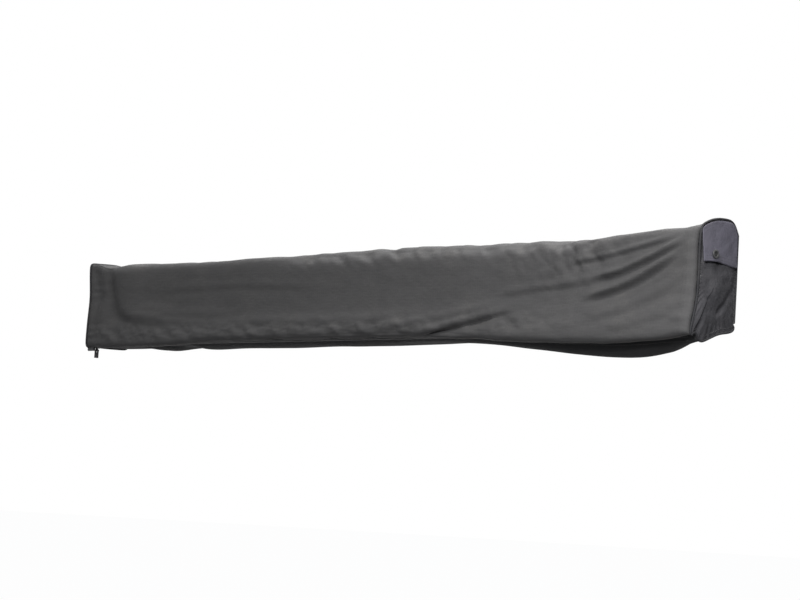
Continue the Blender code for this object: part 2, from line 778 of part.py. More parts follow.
def make_canopy(number, lane):
    """Make the folded canopy strip in the gap on the rail's side of an arm."""
    middle = lane + LANE_PITCH / 2
    half = LANE_GAP / 2 - GAP
    top = ARM_TOP_Z - ARM_CORNER
    start = TUBE_START_X + ARM_CORNER
    stop = TUBE_END_X - ARM_CORNER
    outline = [
        (start, top),
        (start, top - CANOPY_DROP_HUB),
        (stop, top - CANOPY_DROP_TIP),
        (stop, top),
    ]
    return prism(
        f"canopy_{number}", outline, "Y", middle - half, middle + half, "canopy_cloth"
    )


def make_leg(number, hub):
    """Make one telescopic leg, folded along its arm, hung on the arm's hub empty."""
    lane = lane_y(number)
    hinge = pivot(f"leg_hinge_{number}", (LEG_PIVOT_X, lane, LEG_Z), hub)
    half = LEG_WIDTH / 2
    outline = rounded_box(lane - half, lane + half, LEG_Z - half, LEG_Z + half, LEG_CORNER, 1)
    outer = prism(f"leg_{number}_outer", outline, "X", LEG_END_X, LEG_TOP_X, "arm_alloy")
    bore_half = half - LEG_WALL
    head_start = LEG_TOP_X - HEAD_PLUG
    hollow = prism(
        f"guide_leg_hollow_{number}",
        box_outline(lane - bore_half, lane + bore_half, LEG_Z - bore_half, LEG_Z + bore_half),
        "X", LEG_END_X - PAST, head_start, "arm_alloy",
    )
    tongue_outline = [
        (LEG_TOP_X - TONGUE_ROOT, LEG_Z - bore_half),
        (LEG_PIVOT_X, LEG_Z - bore_half),
        *arc(LEG_PIVOT_X, LEG_Z, bore_half, -60.0, 60.0, 6),
        (LEG_PIVOT_X, LEG_Z + bore_half),
        (LEG_TOP_X - TONGUE_ROOT, LEG_Z + bore_half),
    ]
    tongue = prism(
        f"guide_leg_tongue_{number}", tongue_outline, "Y", lane - TONGUE_WIDTH / 2,
        lane + TONGUE_WIDTH / 2, "arm_alloy",
    )
    bore = drill(
        f"guide_leg_eye_{number}", "Y", (LEG_PIVOT_X, lane, LEG_Z), LEG_PIN_RADIUS + RUNNING,
        ARM_WIDTH, 12,
    )
    cut(outer, hollow)
    fuse(outer, tongue)
    cut(outer, bore)
    clamp = make_clamp(number, lane, half)
    carry(hinge, outer, hollow, tongue, bore, *clamp)
    slide = pivot(f"leg_slide_{number}", (LEG_END_X, lane, LEG_Z), hinge)
    carry(slide, *make_inner_leg(number, lane, head_start))


def make_clamp(number, lane, half):
    """Make the collar at the outer leg's open end, with its lock button underneath."""
    outer_half = ARM_WIDTH / 2
    outline = rounded_box(
        lane - outer_half, lane + outer_half, LEG_Z - outer_half, LEG_Z + outer_half, LEG_CORNER, 2
    )
    clamp = prism(
        f"leg_{number}_clamp", outline, "X", LEG_END_X, LEG_END_X + CLAMP_LENGTH, "black_plastic"
    )
    room = half + GAP
    hole = prism(
        f"guide_clamp_hole_{number}",
        rounded_box(lane - room, lane + room, LEG_Z - room, LEG_Z + room, LEG_CORNER, 1),
        "X", LEG_END_X - PAST, LEG_END_X + CLAMP_LENGTH + PAST, "black_plastic",
    )
    centre = (LEG_END_X + CLAMP_LENGTH / 2, lane, LEG_Z - outer_half)
    profile = [(CLAMP_BUTTON * 0.8, -CLAMP_BUTTON), (CLAMP_BUTTON, 0.0), (CLAMP_BUTTON, 0.0005)]
    button = turned(f"guide_button_{number}", profile, "Z", centre, "black_plastic", 12)
    cut(clamp, hole)
    fuse(clamp, button)
    return [clamp, hole, button]


def make_inner_leg(number, lane, head_start):
    """Make the sliding inner leg and its rubber foot."""
    half = INNER_WIDTH / 2
    stop = head_start - GAP
    outline = rounded_box(
        lane - half, lane + half, LEG_Z - half, LEG_Z + half, INNER_CORNER, 1
    )
    inner = prism(f"leg_{number}_inner", outline, "X", LEG_END_X, stop, "arm_alloy")
    bore = half - LEG_WALL
    hollow = prism(
        f"guide_inner_hollow_{number}",
        box_outline(lane - bore, lane + bore, LEG_Z - bore, LEG_Z + bore),
        "X", LEG_END_X - PAST, stop + PAST, "arm_alloy",
    )
    cut(inner, hollow)
    radius = ARM_WIDTH / 2
    profile = [
        (radius * 0.8, -FOOT_LENGTH),
        (radius, -FOOT_LENGTH * 0.8),
        (radius, -FOOT_LENGTH * 0.35),
        (radius * 0.85, -GAP),
    ]
    foot = turned(f"leg_{number}_foot", profile, "X", (LEG_END_X, lane, LEG_Z), "rubber", 16)
    peg_half = bore - GAP
    peg = prism(
        f"guide_foot_peg_{number}",
        box_outline(lane - peg_half, lane + peg_half, LEG_Z - peg_half, LEG_Z + peg_half),
        "X", LEG_END_X - FOOT_LENGTH / 2, LEG_END_X + FOOT_LENGTH, "rubber",
    )
    fuse(foot, peg)
    return [inner, hollow, foot, peg]


def bag_place(x):
    """Return the place along the bag from its middle, held still over the hem at each end.

    The outlines stay the same over a hem, so that the cloth meets its end squarely.
    """
    limit = BAG_LENGTH / 2 - END_HEM
    return max(-limit, min(limit, x - BAG_CENTRE_X))


def bag_section(x):
    """Return the bag's outer outline at a place: from the rail's top over the front to the zip."""
    along = bag_place(x)
    top = BAG_TOP_Z - TOP_DIP * bump(along, TOP_DIP_X, TOP_DIP_REACH)
    sag = FRONT_SAG * bump(along, FRONT_SAG_X, FRONT_SAG_REACH)
    near_end = bump(abs(along), BAG_LENGTH / 2 - END_HEM, END_RISE_REACH)
    front_top = BAG_FRONT_Y + TOP_FRONT_INSET
    corner_y = front_top + TOP_CORNER
    corner_z = top - TOP_CORNER_DROP
    back_z = RAIL_TOP_Z + GAP + FABRIC
    crown = top - (back_z + corner_z) / 2
    outline = [(RAIL_BACK_Y, back_z + END_EDGE_RISE * near_end)]
    for share in (0.0, 0.2, 0.4, 0.6, 0.8):
        y = KEDER_Y + (corner_y - KEDER_Y) * share
        z = back_z + (corner_z - back_z) * share + 4 * crown * share * (1 - share)
        outline.append((y, z + END_RISE * near_end * (1 - share**1.6)))
    outline += arc(corner_y, corner_z - TOP_CORNER, TOP_CORNER, 80.0, 175.0, 3)
    side_top = corner_z - TOP_CORNER
    side_bottom = BAG_BOTTOM_Z + BOTTOM_CORNER
    for share in (0.25, 0.5, 0.75):
        y = front_top + (BAG_FRONT_Y - front_top) * math.sin(math.pi / 2 * share)
        z = side_top + (side_bottom - side_top) * share
        outline.append((y, z - sag * share**3 * 0.6))
    corner = arc(BAG_FRONT_Y + BOTTOM_CORNER, side_bottom, BOTTOM_CORNER, 180.0, 262.0, 4)
    outline += [(y, z - sag) for y, z in corner[:-1]]
    outline.append((corner[-1][0], corner[-1][1] - sag * 0.7))
    edge = ZIP_Y - ZIP_WIDTH / 2 - GAP
    outline += [(edge - ZIP_LIP, BAG_BOTTOM_Z), (edge, BAG_BOTTOM_Z)]
    return outline


def floor_section(x):
    """Return the floor's outer outline at a place: from the zip back to its seat under the rail.

    The folded canopy rests in it, so its belly hangs below the zip towards the front end.
    """
    belly = BELLY_SAG * bump(bag_place(x), FRONT_SAG_X, FRONT_SAG_REACH)
    seat_z = RAIL_BOTTOM_Z - GAP - FABRIC
    wall_y = RAIL_BACK_Y - FLOOR_SEAT
    low = BAG_BOTTOM_Z - FLOOR_SAG
    front = ZIP_Y + ZIP_WIDTH / 2 + GAP
    corner_y = wall_y - FLOOR_CORNER
    outline = [(front, BAG_BOTTOM_Z), (front + ZIP_LIP, BAG_BOTTOM_Z)]
    for share in (0.25, 0.6, 1.0):
        y = front + ZIP_LIP + (BELLY_Y - front - ZIP_LIP) * share
        outline.append((y, low - belly * math.sin(math.pi / 2 * share)))
    for share in (0.35, 0.7):
        y = BELLY_Y + (corner_y - BELLY_Y) * share
        outline.append((y, low - belly * math.cos(math.pi / 2 * share)))
    outline += arc(corner_y, low + FLOOR_CORNER, FLOOR_CORNER, -90.0, 0.0, 4)
    outline += [(wall_y, seat_z), (RAIL_BACK_Y, seat_z)]
    return outline


def bag_stations(start, stop):
    """Return places along the bag, closer together at its ends and where its lower edge hangs."""
    near = (END_HEM, END_HEM + END_RISE_REACH / 2, END_HEM + END_RISE_REACH)
    places = [start + step for step in near] + [stop - step for step in near]
    for step in range(BAG_STATIONS):
        share = step / (BAG_STATIONS - 1)
        places.append(start + (stop - start) * (share + 0.10 * math.sin(math.pi * share)))
    return sorted(places)


def make_cover():
    """Make the bag's hinged cover: its top and front in one, two ends and the keder bead."""
    axis = pivot("cover_axis", (BAG_CENTRE_X, KEDER_Y, KEDER_Z))
    start = BAG_REAR_X + FABRIC + GAP
    stop = BAG_FRONT_X - FABRIC - GAP
    rows = [[(x, y, z) for y, z in bag_section(x)] for x in bag_stations(start, stop)]
    cover = sheet_solid("bag_cover", rows, "bag_fabric", FABRIC)
    ends = []
    places = (("rear", BAG_REAR_X, start - GAP), ("front", stop + GAP, BAG_FRONT_X))
    for side, low, high in places:
        x = start if side == "rear" else stop
        outline = bag_section(x) + floor_section(x)
        ends.append(prism(f"bag_end_{side}", outline, "X", low, high, "end_fabric"))
    length = (RAIL_END_X - RAIL_REAR_X) / 2
    middle = ((RAIL_END_X + RAIL_REAR_X) / 2, KEDER_Y, KEDER_Z)
    profile = [(KEDER_RADIUS, -length), (KEDER_RADIUS, length)]
    bead = turned("cover_keder", profile, "X", middle, "webbing", 10)
    carry(axis, cover, *ends, bead)


def make_floor():
    """Make the bag's fixed floor, from under the rail to the zip, and the zip's chain."""
    start = BAG_REAR_X + FABRIC + GAP
    stop = BAG_FRONT_X - FABRIC - GAP
    rows = [[(x, y, z) for y, z in floor_section(x)] for x in bag_stations(start, stop)]
    sheet_solid("bag_floor", rows, "bag_fabric", FABRIC)
    chain = rounded_box(
        ZIP_Y - ZIP_WIDTH / 2, ZIP_Y + ZIP_WIDTH / 2, BAG_BOTTOM_Z - ZIP_THICKNESS / 2,
        BAG_BOTTOM_Z + ZIP_THICKNESS / 2, ZIP_CORNER, 1,
    )
    prism("zip_chain", chain, "X", start, stop, "webbing")


def make_zip_slider():
    """Make the zip's slider and its swinging pull tab at the rear end."""
    low = SLIDER_BOTTOM_Z
    high = SLIDER_BOTTOM_Z + SLIDER_HEIGHT
    axis = pivot("slider_rest", (SLIDER_X, ZIP_Y, high))
    length = SLIDER_LENGTH / 2
    outline = [
        (SLIDER_X - length, high),
        (SLIDER_X - length, low + SLIDER_BEVEL),
        (SLIDER_X - length * 0.7, low),
        (SLIDER_X + length * 0.7, low),
        (SLIDER_X + length, low + SLIDER_BEVEL),
        (SLIDER_X + length, high),
    ]
    half = SLIDER_WIDTH / 2
    slider = prism("zip_slider", outline, "Y", ZIP_Y - half, ZIP_Y + half, "black_steel")
    lug_half = LUG_WIDTH / 2
    eye = PULL_EYE * 0.9
    lug_outline = [
        (SLIDER_X - eye, low + SLIDER_BEVEL / 2),
        *arc(SLIDER_X, PULL_Z, eye, 180.0, 360.0, 8),
        (SLIDER_X + eye, low + SLIDER_BEVEL / 2),
    ]
    lug = prism("guide_lug", lug_outline, "Y", ZIP_Y - lug_half, ZIP_Y + lug_half, "black_steel")
    hole = drill(
        "guide_lug_eye", "Y", (SLIDER_X, ZIP_Y, PULL_Z), PULL_PIN_RADIUS + RUNNING, half, 12,
    )
    fuse(slider, lug)
    cut(slider, hole)
    carry(axis, slider, lug, hole)
    swing = pivot("pull_axis", (SLIDER_X, ZIP_Y, PULL_Z), axis)
    width = PULL_WIDTH / 2
    tail = PULL_Z - PULL_LENGTH
    plate = [
        *arc(SLIDER_X, PULL_Z, PULL_EYE * 0.5, 0.0, 180.0, 6),
        (SLIDER_X - PULL_THICKNESS / 2, PULL_Z - PULL_EYE),
        (SLIDER_X - PULL_THICKNESS / 2, tail),
        (SLIDER_X + PULL_THICKNESS / 2, tail),
        (SLIDER_X + PULL_THICKNESS / 2, PULL_Z - PULL_EYE),
    ]
    pull = prism("zip_pull", plate, "Y", ZIP_Y - width, ZIP_Y + width, "black_plastic")
    room = lug_half + RUNNING
    slot = prism(
        "guide_pull_slot",
        box_outline(SLIDER_X - PAST, SLIDER_X + PAST, ZIP_Y - room, ZIP_Y + room),
        "Z", PULL_Z - PULL_EYE - RUNNING, PULL_Z + PAST, "black_plastic",
    )
    bar = turned(
        "guide_pull_bar", [(PULL_PIN_RADIUS, -width * 0.8), (PULL_PIN_RADIUS, width * 0.8)], "Y",
        (SLIDER_X, ZIP_Y, PULL_Z), "black_plastic", 12,
    )
    cut(pull, slot)
    fuse(pull, bar)
    carry(swing, pull, slot, bar)


def make_straps():
    """Make the two straps that tie the folded arms to the rail inside the bag."""
    outer_y = lane_y(ARM_COUNT) - ARM_WIDTH / 2 - GAP
    top = ARM_TOP_Z + GAP
    back = RAIL_FRONT_Y - GAP
    reach = STRAP_THICKNESS
    for name, along in STRAP_PLACES.items():
        x = along + BAG_CENTRE_X
        share = (x + STRAP_WIDTH / 2 - TUBE_START_X) / (TUBE_END_X - TUBE_START_X)
        drop = CANOPY_DROP_HUB + (CANOPY_DROP_TIP - CANOPY_DROP_HUB) * share
        leg_bottom = LEG_Z - ARM_WIDTH / 2
        bottom = min(ARM_TOP_Z - ARM_CORNER - drop, leg_bottom) - GAP
        outline = [
            (back, top),
            (outer_y, top),
            (outer_y, bottom),
            (back, bottom),
            (back, bottom - reach),
            (outer_y - reach, bottom - reach),
            (outer_y - reach, top + reach),
            (back, top + reach),
        ]
        prism(name, outline, "X", x - STRAP_WIDTH / 2, x + STRAP_WIDTH / 2, "webbing")


def main():
    """Build every piece of the awning."""
    clear_scene()
    make_rail()
    make_hub()
    make_brackets()
    hub = None
    for number in range(1, ARM_COUNT + 1):
        hub = make_arm(number, hub)
        make_leg(number, hub)
    make_straps()
    make_floor()
    make_cover()
    make_zip_slider()


main()
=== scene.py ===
"""Looks of a vehicle side awning, folded in its zipped travel bag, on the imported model's frame.

X runs along the rail towards the vehicle's front, Y points to the vehicle and Z is up, in metres.
Each sub-assembly is a class with its sizes as fields. New surfaces are worked out as whole numpy
arrays, and each finish builds its own procedural material from shared node groups.
"""

import logging
import math
from dataclasses import dataclass
from enum import Enum
from functools import cache
from typing import Sequence

import bpy
import numpy as np
from mathutils import Matrix, Vector


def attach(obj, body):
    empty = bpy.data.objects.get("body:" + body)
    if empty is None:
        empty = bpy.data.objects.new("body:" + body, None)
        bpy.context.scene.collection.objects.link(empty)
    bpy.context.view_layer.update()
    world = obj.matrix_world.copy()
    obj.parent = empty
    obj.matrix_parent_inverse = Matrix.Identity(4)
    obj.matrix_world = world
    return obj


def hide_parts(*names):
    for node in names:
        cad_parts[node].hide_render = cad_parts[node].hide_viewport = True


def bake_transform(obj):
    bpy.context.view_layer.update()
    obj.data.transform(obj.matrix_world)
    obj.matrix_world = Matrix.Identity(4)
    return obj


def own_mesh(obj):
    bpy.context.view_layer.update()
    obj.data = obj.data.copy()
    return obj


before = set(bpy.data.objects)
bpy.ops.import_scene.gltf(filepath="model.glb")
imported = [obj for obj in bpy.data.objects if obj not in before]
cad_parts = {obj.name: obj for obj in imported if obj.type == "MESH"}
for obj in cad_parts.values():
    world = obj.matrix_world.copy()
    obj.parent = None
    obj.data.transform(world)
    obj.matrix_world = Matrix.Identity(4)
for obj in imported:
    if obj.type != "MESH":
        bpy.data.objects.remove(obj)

logging.basicConfig(level=logging.INFO, format="%(name)s: %(message)s")
LOG = logging.getLogger("awning")

Array = np.ndarray
Colour = tuple[float, float, float]
Node = bpy.types.Node
Obj = bpy.types.Object
Socket = bpy.types.NodeSocket
Sockets = bpy.types.bpy_prop_collection
Tree = bpy.types.NodeTree


# Shapes as arrays


def ease(low: float, high: float, value: Array) -> Array:
    """Rise smoothly from 0 at low to 1 at high, as 3t^2 - 2t^3.

    Args:
        low: where the rise starts.
        high: where it ends; below low for a fall.
        value: places to work it out at.

    Returns:
        The heights, from 0 to 1.
    """
    share = np.clip((value - low) / (high - low), 0.0, 1.0)
    return share * share * (3.0 - 2.0 * share)


def hill(value: Array, middle: float, reach: float) -> Array:
    """Return a bell of height one, exp(-((value - middle) / reach)^2)."""
    return np.exp(-(((value - middle) / reach) ** 2))


def through(places: Sequence[float], heights: Sequence[float], value: Array) -> Array:
    """Run a smooth line through points: cubic Hermite pieces with finite-difference slopes.

    Args:
        places: the points' places, rising.
        heights: the points' heights.
        value: where to read the line.

    Returns:
        The line's heights, held level beyond both ends.
    """
    at, to = np.asarray(places, float), np.asarray(heights, float)
    slope = np.gradient(to, at)
    where = np.clip(value, at[0], at[-1])
    part = np.clip(np.searchsorted(at, where) - 1, 0, len(at) - 2)
    span = at[part + 1] - at[part]
    t = (where - at[part]) / span
    rise = to[part] * (1 + 2 * t) * (1 - t) ** 2 + to[part + 1] * t * t * (3 - 2 * t)
    return rise + span * (slope[part] * t * (1 - t) ** 2 - slope[part + 1] * t * t * (1 - t))


def spline_weights(controls: int, samples: int) -> Array:
    """Return the clamped cubic B-spline's weights, by the Cox-de Boor rule.

    Args:
        controls: number of control points.
        samples: number of points wanted along the curve.

    Returns:
        An array (samples, controls) whose rows add up to one.
    """
    inner = np.arange(1, controls - 3)
    knots = np.concatenate([np.zeros(4), inner, np.full(4, controls - 3)]).astype(float)
    t = np.linspace(0.0, controls - 3 - 1e-9, samples)[:, None]
    basis = ((knots[:-1] <= t) & (t < knots[1:])).astype(float)
    for degree in (1, 2, 3):
        width = knots[degree:] - knots[:-degree]
        safe = np.where(width > 0, width, 1.0)
        left = np.where(width > 0, (t - knots[:-degree]) / safe, 0.0)
        right = np.where(width > 0, (knots[degree:] - t) / safe, 0.0)
        basis = left[:, :-1] * basis[:, :-1] + right[:, 1:] * basis[:, 1:]
    return basis


def section_curves(rows: Sequence[tuple[Array, Array]], along: Array, samples: int) -> Array:
    """Turn control points that change along the rail into smooth sections.

    Args:
        rows: the (Y, Z) of each control point, one number or one for each place.
        along: the places.
        samples: number of points wanted round each section.

    Returns:
        The sections (places, samples, YZ), weights times controls.
    """
    controls = np.stack([np.stack([y + 0 * along, z + 0 * along], -1) for y, z in rows], 1)
    return np.einsum("sc,pcd->psd", spline_weights(len(rows), samples), controls)


def arc_lengths(points: Array) -> Array:
    """Return the running length along the last row axis of points (..., n, 3)."""
    steps = np.linalg.norm(np.diff(points, axis=-2), axis=-1)
    return np.concatenate([np.zeros(steps.shape[:-1] + (1,)), np.cumsum(steps, -1)], -1)


def read_along(at: Array, run: Array, rows: Array) -> Array:
    """Read a path between its points.

    Args:
        at: the lengths wanted.
        run: the points' own running lengths.
        rows: the points or their directions (n, 3).

    Returns:
        The rows at those lengths.
    """
    return np.stack([np.interp(at, run, rows[:, axis]) for axis in range(3)], 1)


def unit(vectors: Array) -> Array:
    """Scale vectors to length one."""
    return vectors / np.maximum(np.linalg.norm(vectors, axis=-1, keepdims=True), 1e-12)


def grid(*parts: Array) -> Array:
    """Stack coordinates that broadcast against each other into one grid of points."""
    return np.stack(np.broadcast_arrays(*parts), -1)


def ripples(first: Array, second: Array, seed: int, waves: int, low: float, high: float,
            stretch: float) -> Array:
    """Sum plane waves of seeded directions and lengths, which makes cloth's small unevenness.

    Args:
        first: metres along the cloth.
        second: metres across it.
        seed: the waves' seed.
        waves: their number.
        low: shortest wave in metres.
        high: longest wave in metres.
        stretch: how much longer the waves are along the cloth than across it.

    Returns:
        Heights of about -1 to 1.
    """
    draw = np.random.default_rng(seed)
    total = np.zeros(np.broadcast(first, second).shape)
    for _ in range(waves):
        length = low * (high / low) ** draw.random()
        angle = draw.random() * math.tau
        phase = draw.random() * math.tau
        wave = math.tau / length * (first * math.cos(angle) / stretch + second * math.sin(angle))
        bent = wave + phase + 0.6 * np.sin(0.7 * wave + 2 * phase)
        total += np.sin(bent) * (length / high) ** 0.7
    return total / math.sqrt(waves)


# Meshes


class Lay(Enum):
    """How a grid's rows close up."""

    OPEN = "open"
    ROUND = "round"
    LOOP = "loop"


def mesh_object(name: str, points: Array, faces: Array, uv: Array | None = None) -> Obj:
    """Put arrays into a linked mesh object at the origin.

    Args:
        name: the piece's name.
        points: vertices (n, 3).
        faces: quads (m, 4); a quad whose last corner is -1 is a triangle.
        uv: metres along and across for each vertex (n, 2), if wanted.

    Returns:
        The object.
    """
    sides = np.where(faces[:, 3] < 0, 3, 4)
    corners = faces.ravel()[faces.ravel() >= 0]
    starts = np.concatenate([[0], np.cumsum(sides)[:-1]])
    mesh = bpy.data.meshes.new(name)
    mesh.vertices.add(len(points))
    mesh.vertices.foreach_set("co", points.astype(np.float32).ravel())
    mesh.loops.add(len(corners))
    mesh.loops.foreach_set("vertex_index", corners.astype(np.int32))
    mesh.polygons.add(len(sides))
    mesh.polygons.foreach_set("loop_start", starts.astype(np.int32))
    mesh.polygons.foreach_set("loop_total", sides.astype(np.int32))
    if uv is not None:
        layer = mesh.uv_layers.new(name="metres")
        layer.data.foreach_set("uv", uv[corners].astype(np.float32).ravel())
    mesh.update(calc_edges=True)
    mesh.validate()
    mesh.shade_smooth()
    made = bpy.data.objects.new(name, mesh)
    bpy.context.collection.objects.link(made)
    return made


def grid_faces(rows: int, columns: int, lay: Lay = Lay.OPEN) -> Array:
    """Return the quads of a grid of vertices, row by row.

    Args:
        rows: vertices down.
        columns: vertices across.
        lay: ROUND joins the last column to the first, LOOP also the last row to the first.

    Returns:
        Quads (m, 4) with the face to the right of rows x columns.
    """
    index = np.arange(rows * columns).reshape(rows, columns)
    if lay is not Lay.OPEN:
        index = np.concatenate([index, index[:, :1]], 1)
    if lay is Lay.LOOP:
        index = np.concatenate([index, index[:1]], 0)
    quads = [index[:-1, :-1], index[:-1, 1:], index[1:, 1:], index[1:, :-1]]
    return np.stack(quads, -1).reshape(-1, 4)


def fan(around: int, start: int, middle: int) -> Array:
    """Return the triangles from a ring's vertices, numbered on from start, to a middle one.

    Args:
        around: vertices in the ring.
        start: the ring's first vertex.
        middle: the vertex that all the triangles share.

    Returns:
        Triangles (around, 4), each with a last -1.
    """
    ring = np.arange(around)
    return np.stack([np.full(around, middle), ring + start, np.roll(ring, -1) + start,
                     np.full(around, -1)], 1)


def skin(name: str, points: Array, uv: Array | None = None, lay: Lay = Lay.OPEN) -> Obj:
    """Skin a grid of points (rows, columns, 3) as one surface."""
    flat = None if uv is None else uv.reshape(-1, 2)
    return mesh_object(name, points.reshape(-1, 3), grid_faces(*points.shape[:2], lay), flat)


def closed_rings(name: str, rings: Array, uv: Array | None = None) -> Obj:
    """Skin a stack of rings (m, n, 3) and close both ends with a fan round a middle point.

    Args:
        name: the piece's name.
        rings: the rings, each running the same way.
        uv: metres for each ring point (m, n, 2), if wanted.

    Returns:
        A closed body whose faces point outwards.
    """
    count, around = rings.shape[:2]
    end = count * around
    faces = [grid_faces(count, around, Lay.ROUND), fan(around, 0, end)[:, [0, 2, 1, 3]],
             fan(around, end - around, end + 1)]
    points = np.concatenate([rings.reshape(-1, 3), rings[:1].mean(1), rings[-1:].mean(1)])
    flat = None
    if uv is not None:
        flat = np.concatenate([uv.reshape(-1, 2), uv[:1].mean(1), uv[-1:].mean(1)])
    return face_out(mesh_object(name, points, np.concatenate(faces), flat))


def face_out(made: Obj) -> Obj:
    """Turn a closed body's faces outwards, found from the sign of its volume.

    Args:
        made: the body.

    Returns:
        The body.
    """
    mesh = made.data
    mesh.calc_loop_triangles()
    corners = np.zeros(len(mesh.loop_triangles) * 3, np.int32)
    mesh.loop_triangles.foreach_get("vertices", corners)
    places = np.zeros(len(mesh.vertices) * 3)
    mesh.vertices.foreach_get("co", places)
    one, two, three = places.reshape(-1, 3)[corners.reshape(-1, 3)].transpose(1, 0, 2)
    if (one * np.cross(two, three)).sum() < 0:
        mesh.flip_normals()
    return made


def face_towards(made: Obj, axis: int, sign: float) -> Obj:
    """Turn an open sheet over if its faces in sum look the wrong way.

    Args:
        made: the sheet.
        axis: the axis that tells the way, 0, 1 or 2.
        sign: 1 for the axis's own way, -1 for the other.

    Returns:
        The sheet.
    """
    normals = np.zeros(len(made.data.polygons) * 3)
    made.data.polygons.foreach_get("normal", normals)
    if normals.reshape(-1, 3)[:, axis].sum() * sign < 0:
        made.data.flip_normals()
    return made


def tube(name: str, path: Array, radius: float, sides: int, across: Sequence[float],
         closed: bool = False) -> Obj:
    """Carry a circle along a path: path + r (cos a * side + sin a * up).

    Args:
        name: the piece's name.
        path: centre line (n, 3).
        radius: the tube's radius.
        sides: points round the tube.
        across: a direction never along the path, which fixes the section's turn.
        closed: whether the path's end meets its start.

    Returns:
        The tube, closed at its ends, with UVs in metres along and around.
    """
    ahead = np.roll(path, -1, 0) - np.roll(path, 1, 0) if closed else np.gradient(path, axis=0)
    along = unit(ahead)
    side = unit(np.cross(along, np.asarray(across, float)))
    up = np.cross(side, along)
    turn = np.linspace(0.0, math.tau, sides, endpoint=False)
    spoke = np.cos(turn)[None, :, None] * side[:, None] + np.sin(turn)[None, :, None] * up[:, None]
    rings = path[:, None] + radius * spoke
    uv = grid(arc_lengths(path)[:, None], turn[None] * radius)
    if closed:
        return face_out(skin(name, rings, uv, Lay.LOOP))
    return closed_rings(name, rings, uv)


def slab(name: str, outline: Array, axis: int, low: float, high: float, bevel: float) -> Obj:
    """Carry a flat outline from low to high along an axis, drawn in by the bevel at both ends.

    Args:
        name: the piece's name.
        outline: points (n, 2) in the two other axes, in X, Y, Z order.
        axis: 0, 1 or 2.
        low: one end.
        high: the other end.
        bevel: how far the edge is rounded off.

    Returns:
        A closed body.
    """
    after = np.roll(outline, -1, 0)
    tangent = unit(unit(after - outline) + unit(outline - np.roll(outline, 1, 0)))
    area = float((outline[:, 0] * after[:, 1] - outline[:, 1] * after[:, 0]).sum())
    inward = np.stack([-tangent[:, 1], tangent[:, 0]], 1) * math.copysign(1.0, area)
    turn = np.radians([90.0, 60.0, 30.0, 0.0])
    inset, rise = bevel * (1 - np.cos(turn)), bevel * (1 - np.sin(turn))
    insets = np.concatenate([inset, inset[::-1]])
    flat = outline[None] + inward[None] * insets[:, None, None]
    others = [number for number in range(3) if number != axis]
    rings = np.zeros(flat.shape[:2] + (3,))
    rings[..., others[0]], rings[..., others[1]] = flat[..., 0], flat[..., 1]
    rings[..., axis] = np.concatenate([low + rise, high - rise[::-1]])[:, None]
    return closed_rings(name, rings)


def round_outline(first: float, second: float, half_first: float, half_second: float,
                  radius: float, steps: int = 4) -> Array:
    """Return a round-cornered rectangle's outline (n, 2) about a middle point.

    Args:
        first: the middle's first coordinate.
        second: its second coordinate.
        half_first: half the width.
        half_second: half the height.
        radius: the corners' radius.
        steps: pieces of each corner's arc.

    Returns:
        The outline, anticlockwise.
    """
    turn = np.linspace(0.0, math.pi / 2, steps + 1)
    corner = np.stack([np.cos(turn), np.sin(turn)], 1) * radius
    parts = []
    for quarter, (one, two) in enumerate(((1, 1), (-1, 1), (-1, -1), (1, -1))):
        c, s = math.cos(quarter * math.pi / 2), math.sin(quarter * math.pi / 2)
        middle = [first + one * (half_first - radius), second + two * (half_second - radius)]
        parts.append(corner @ np.array([[c, s], [-s, c]]) + middle)
    return np.concatenate(parts)


def circle(first: float, second: float, radius: float, sides: int) -> Array:
    """Return points (n, 2) on a circle."""
    turn = np.linspace(0.0, math.tau, sides, endpoint=False)
    return np.stack([first + radius * np.cos(turn), second + radius * np.sin(turn)], 1)


def copies(name: str, shape: Array, faces: Array, places: Array, axes: Array) -> Obj:
    """Repeat a small shape: place + x * axis 1 + y * axis 2 + z * axis 3 for every copy.

    Args:
        name: the piece's name.
        shape: the small shape's vertices (k, 3).
        faces: its faces (f, 4).
        places: where the copies go (n, 3).
        axes: each copy's three directions (n, 3, 3).

    Returns:
        One object that holds all the copies.
    """
    points = places[:, None] + np.einsum("kj,njl->nkl", shape, axes)
    shift = (np.arange(len(places)) * len(shape))[:, None, None]
    return face_out(mesh_object(name, points.reshape(-1, 3), (faces[None] + shift).reshape(-1, 4)))


THREAD_SHAPE = np.array([[x, y, -0.6] for x in (-0.5, 0.5) for y in (-0.5, 0.5)]
                        + [[x, y, 1.0] for x in (-0.3, 0.3) for y in (-0.3, 0.3)])
THREAD_FACES = np.array([[0, 1, 3, 2], [4, 6, 7, 5], [0, 4, 5, 1], [2, 3, 7, 6], [0, 2, 6, 4],
                         [1, 5, 7, 3]])


def stitches(name: str, path: Array, normal: Array | Sequence[float], pitch: float = 0.0036,
             length: float = 0.0026, width: float = 0.0007, height: float = 0.0004) -> Obj:
    """Sew a row of threads along a path, each a small tapered block across the cloth's normal.

    Args:
        name: the piece's name.
        path: the row's line on the cloth (n, 3).
        normal: the cloth's outward direction at those points (n, 3), or one for all.
        pitch: from one stitch to the next.
        length: a stitch's length.
        width: a thread's width.
        height: how far it stands proud.

    Returns:
        The row as one object.
    """
    run = arc_lengths(path)
    at = np.arange(pitch, run[-1] - pitch / 2, pitch)
    up = unit(read_along(at, run, np.broadcast_to(np.asarray(normal, float), path.shape)))
    nearer, further = (read_along(at + end * length / 2, run, path) for end in (-1, 1))
    along = unit(further - nearer)
    side = unit(np.cross(up, along))
    axes = np.stack([along * length, side * width, np.cross(along, side) * height], 1)
    return copies(name, THREAD_SHAPE, THREAD_FACES, read_along(at, run, path), axes)


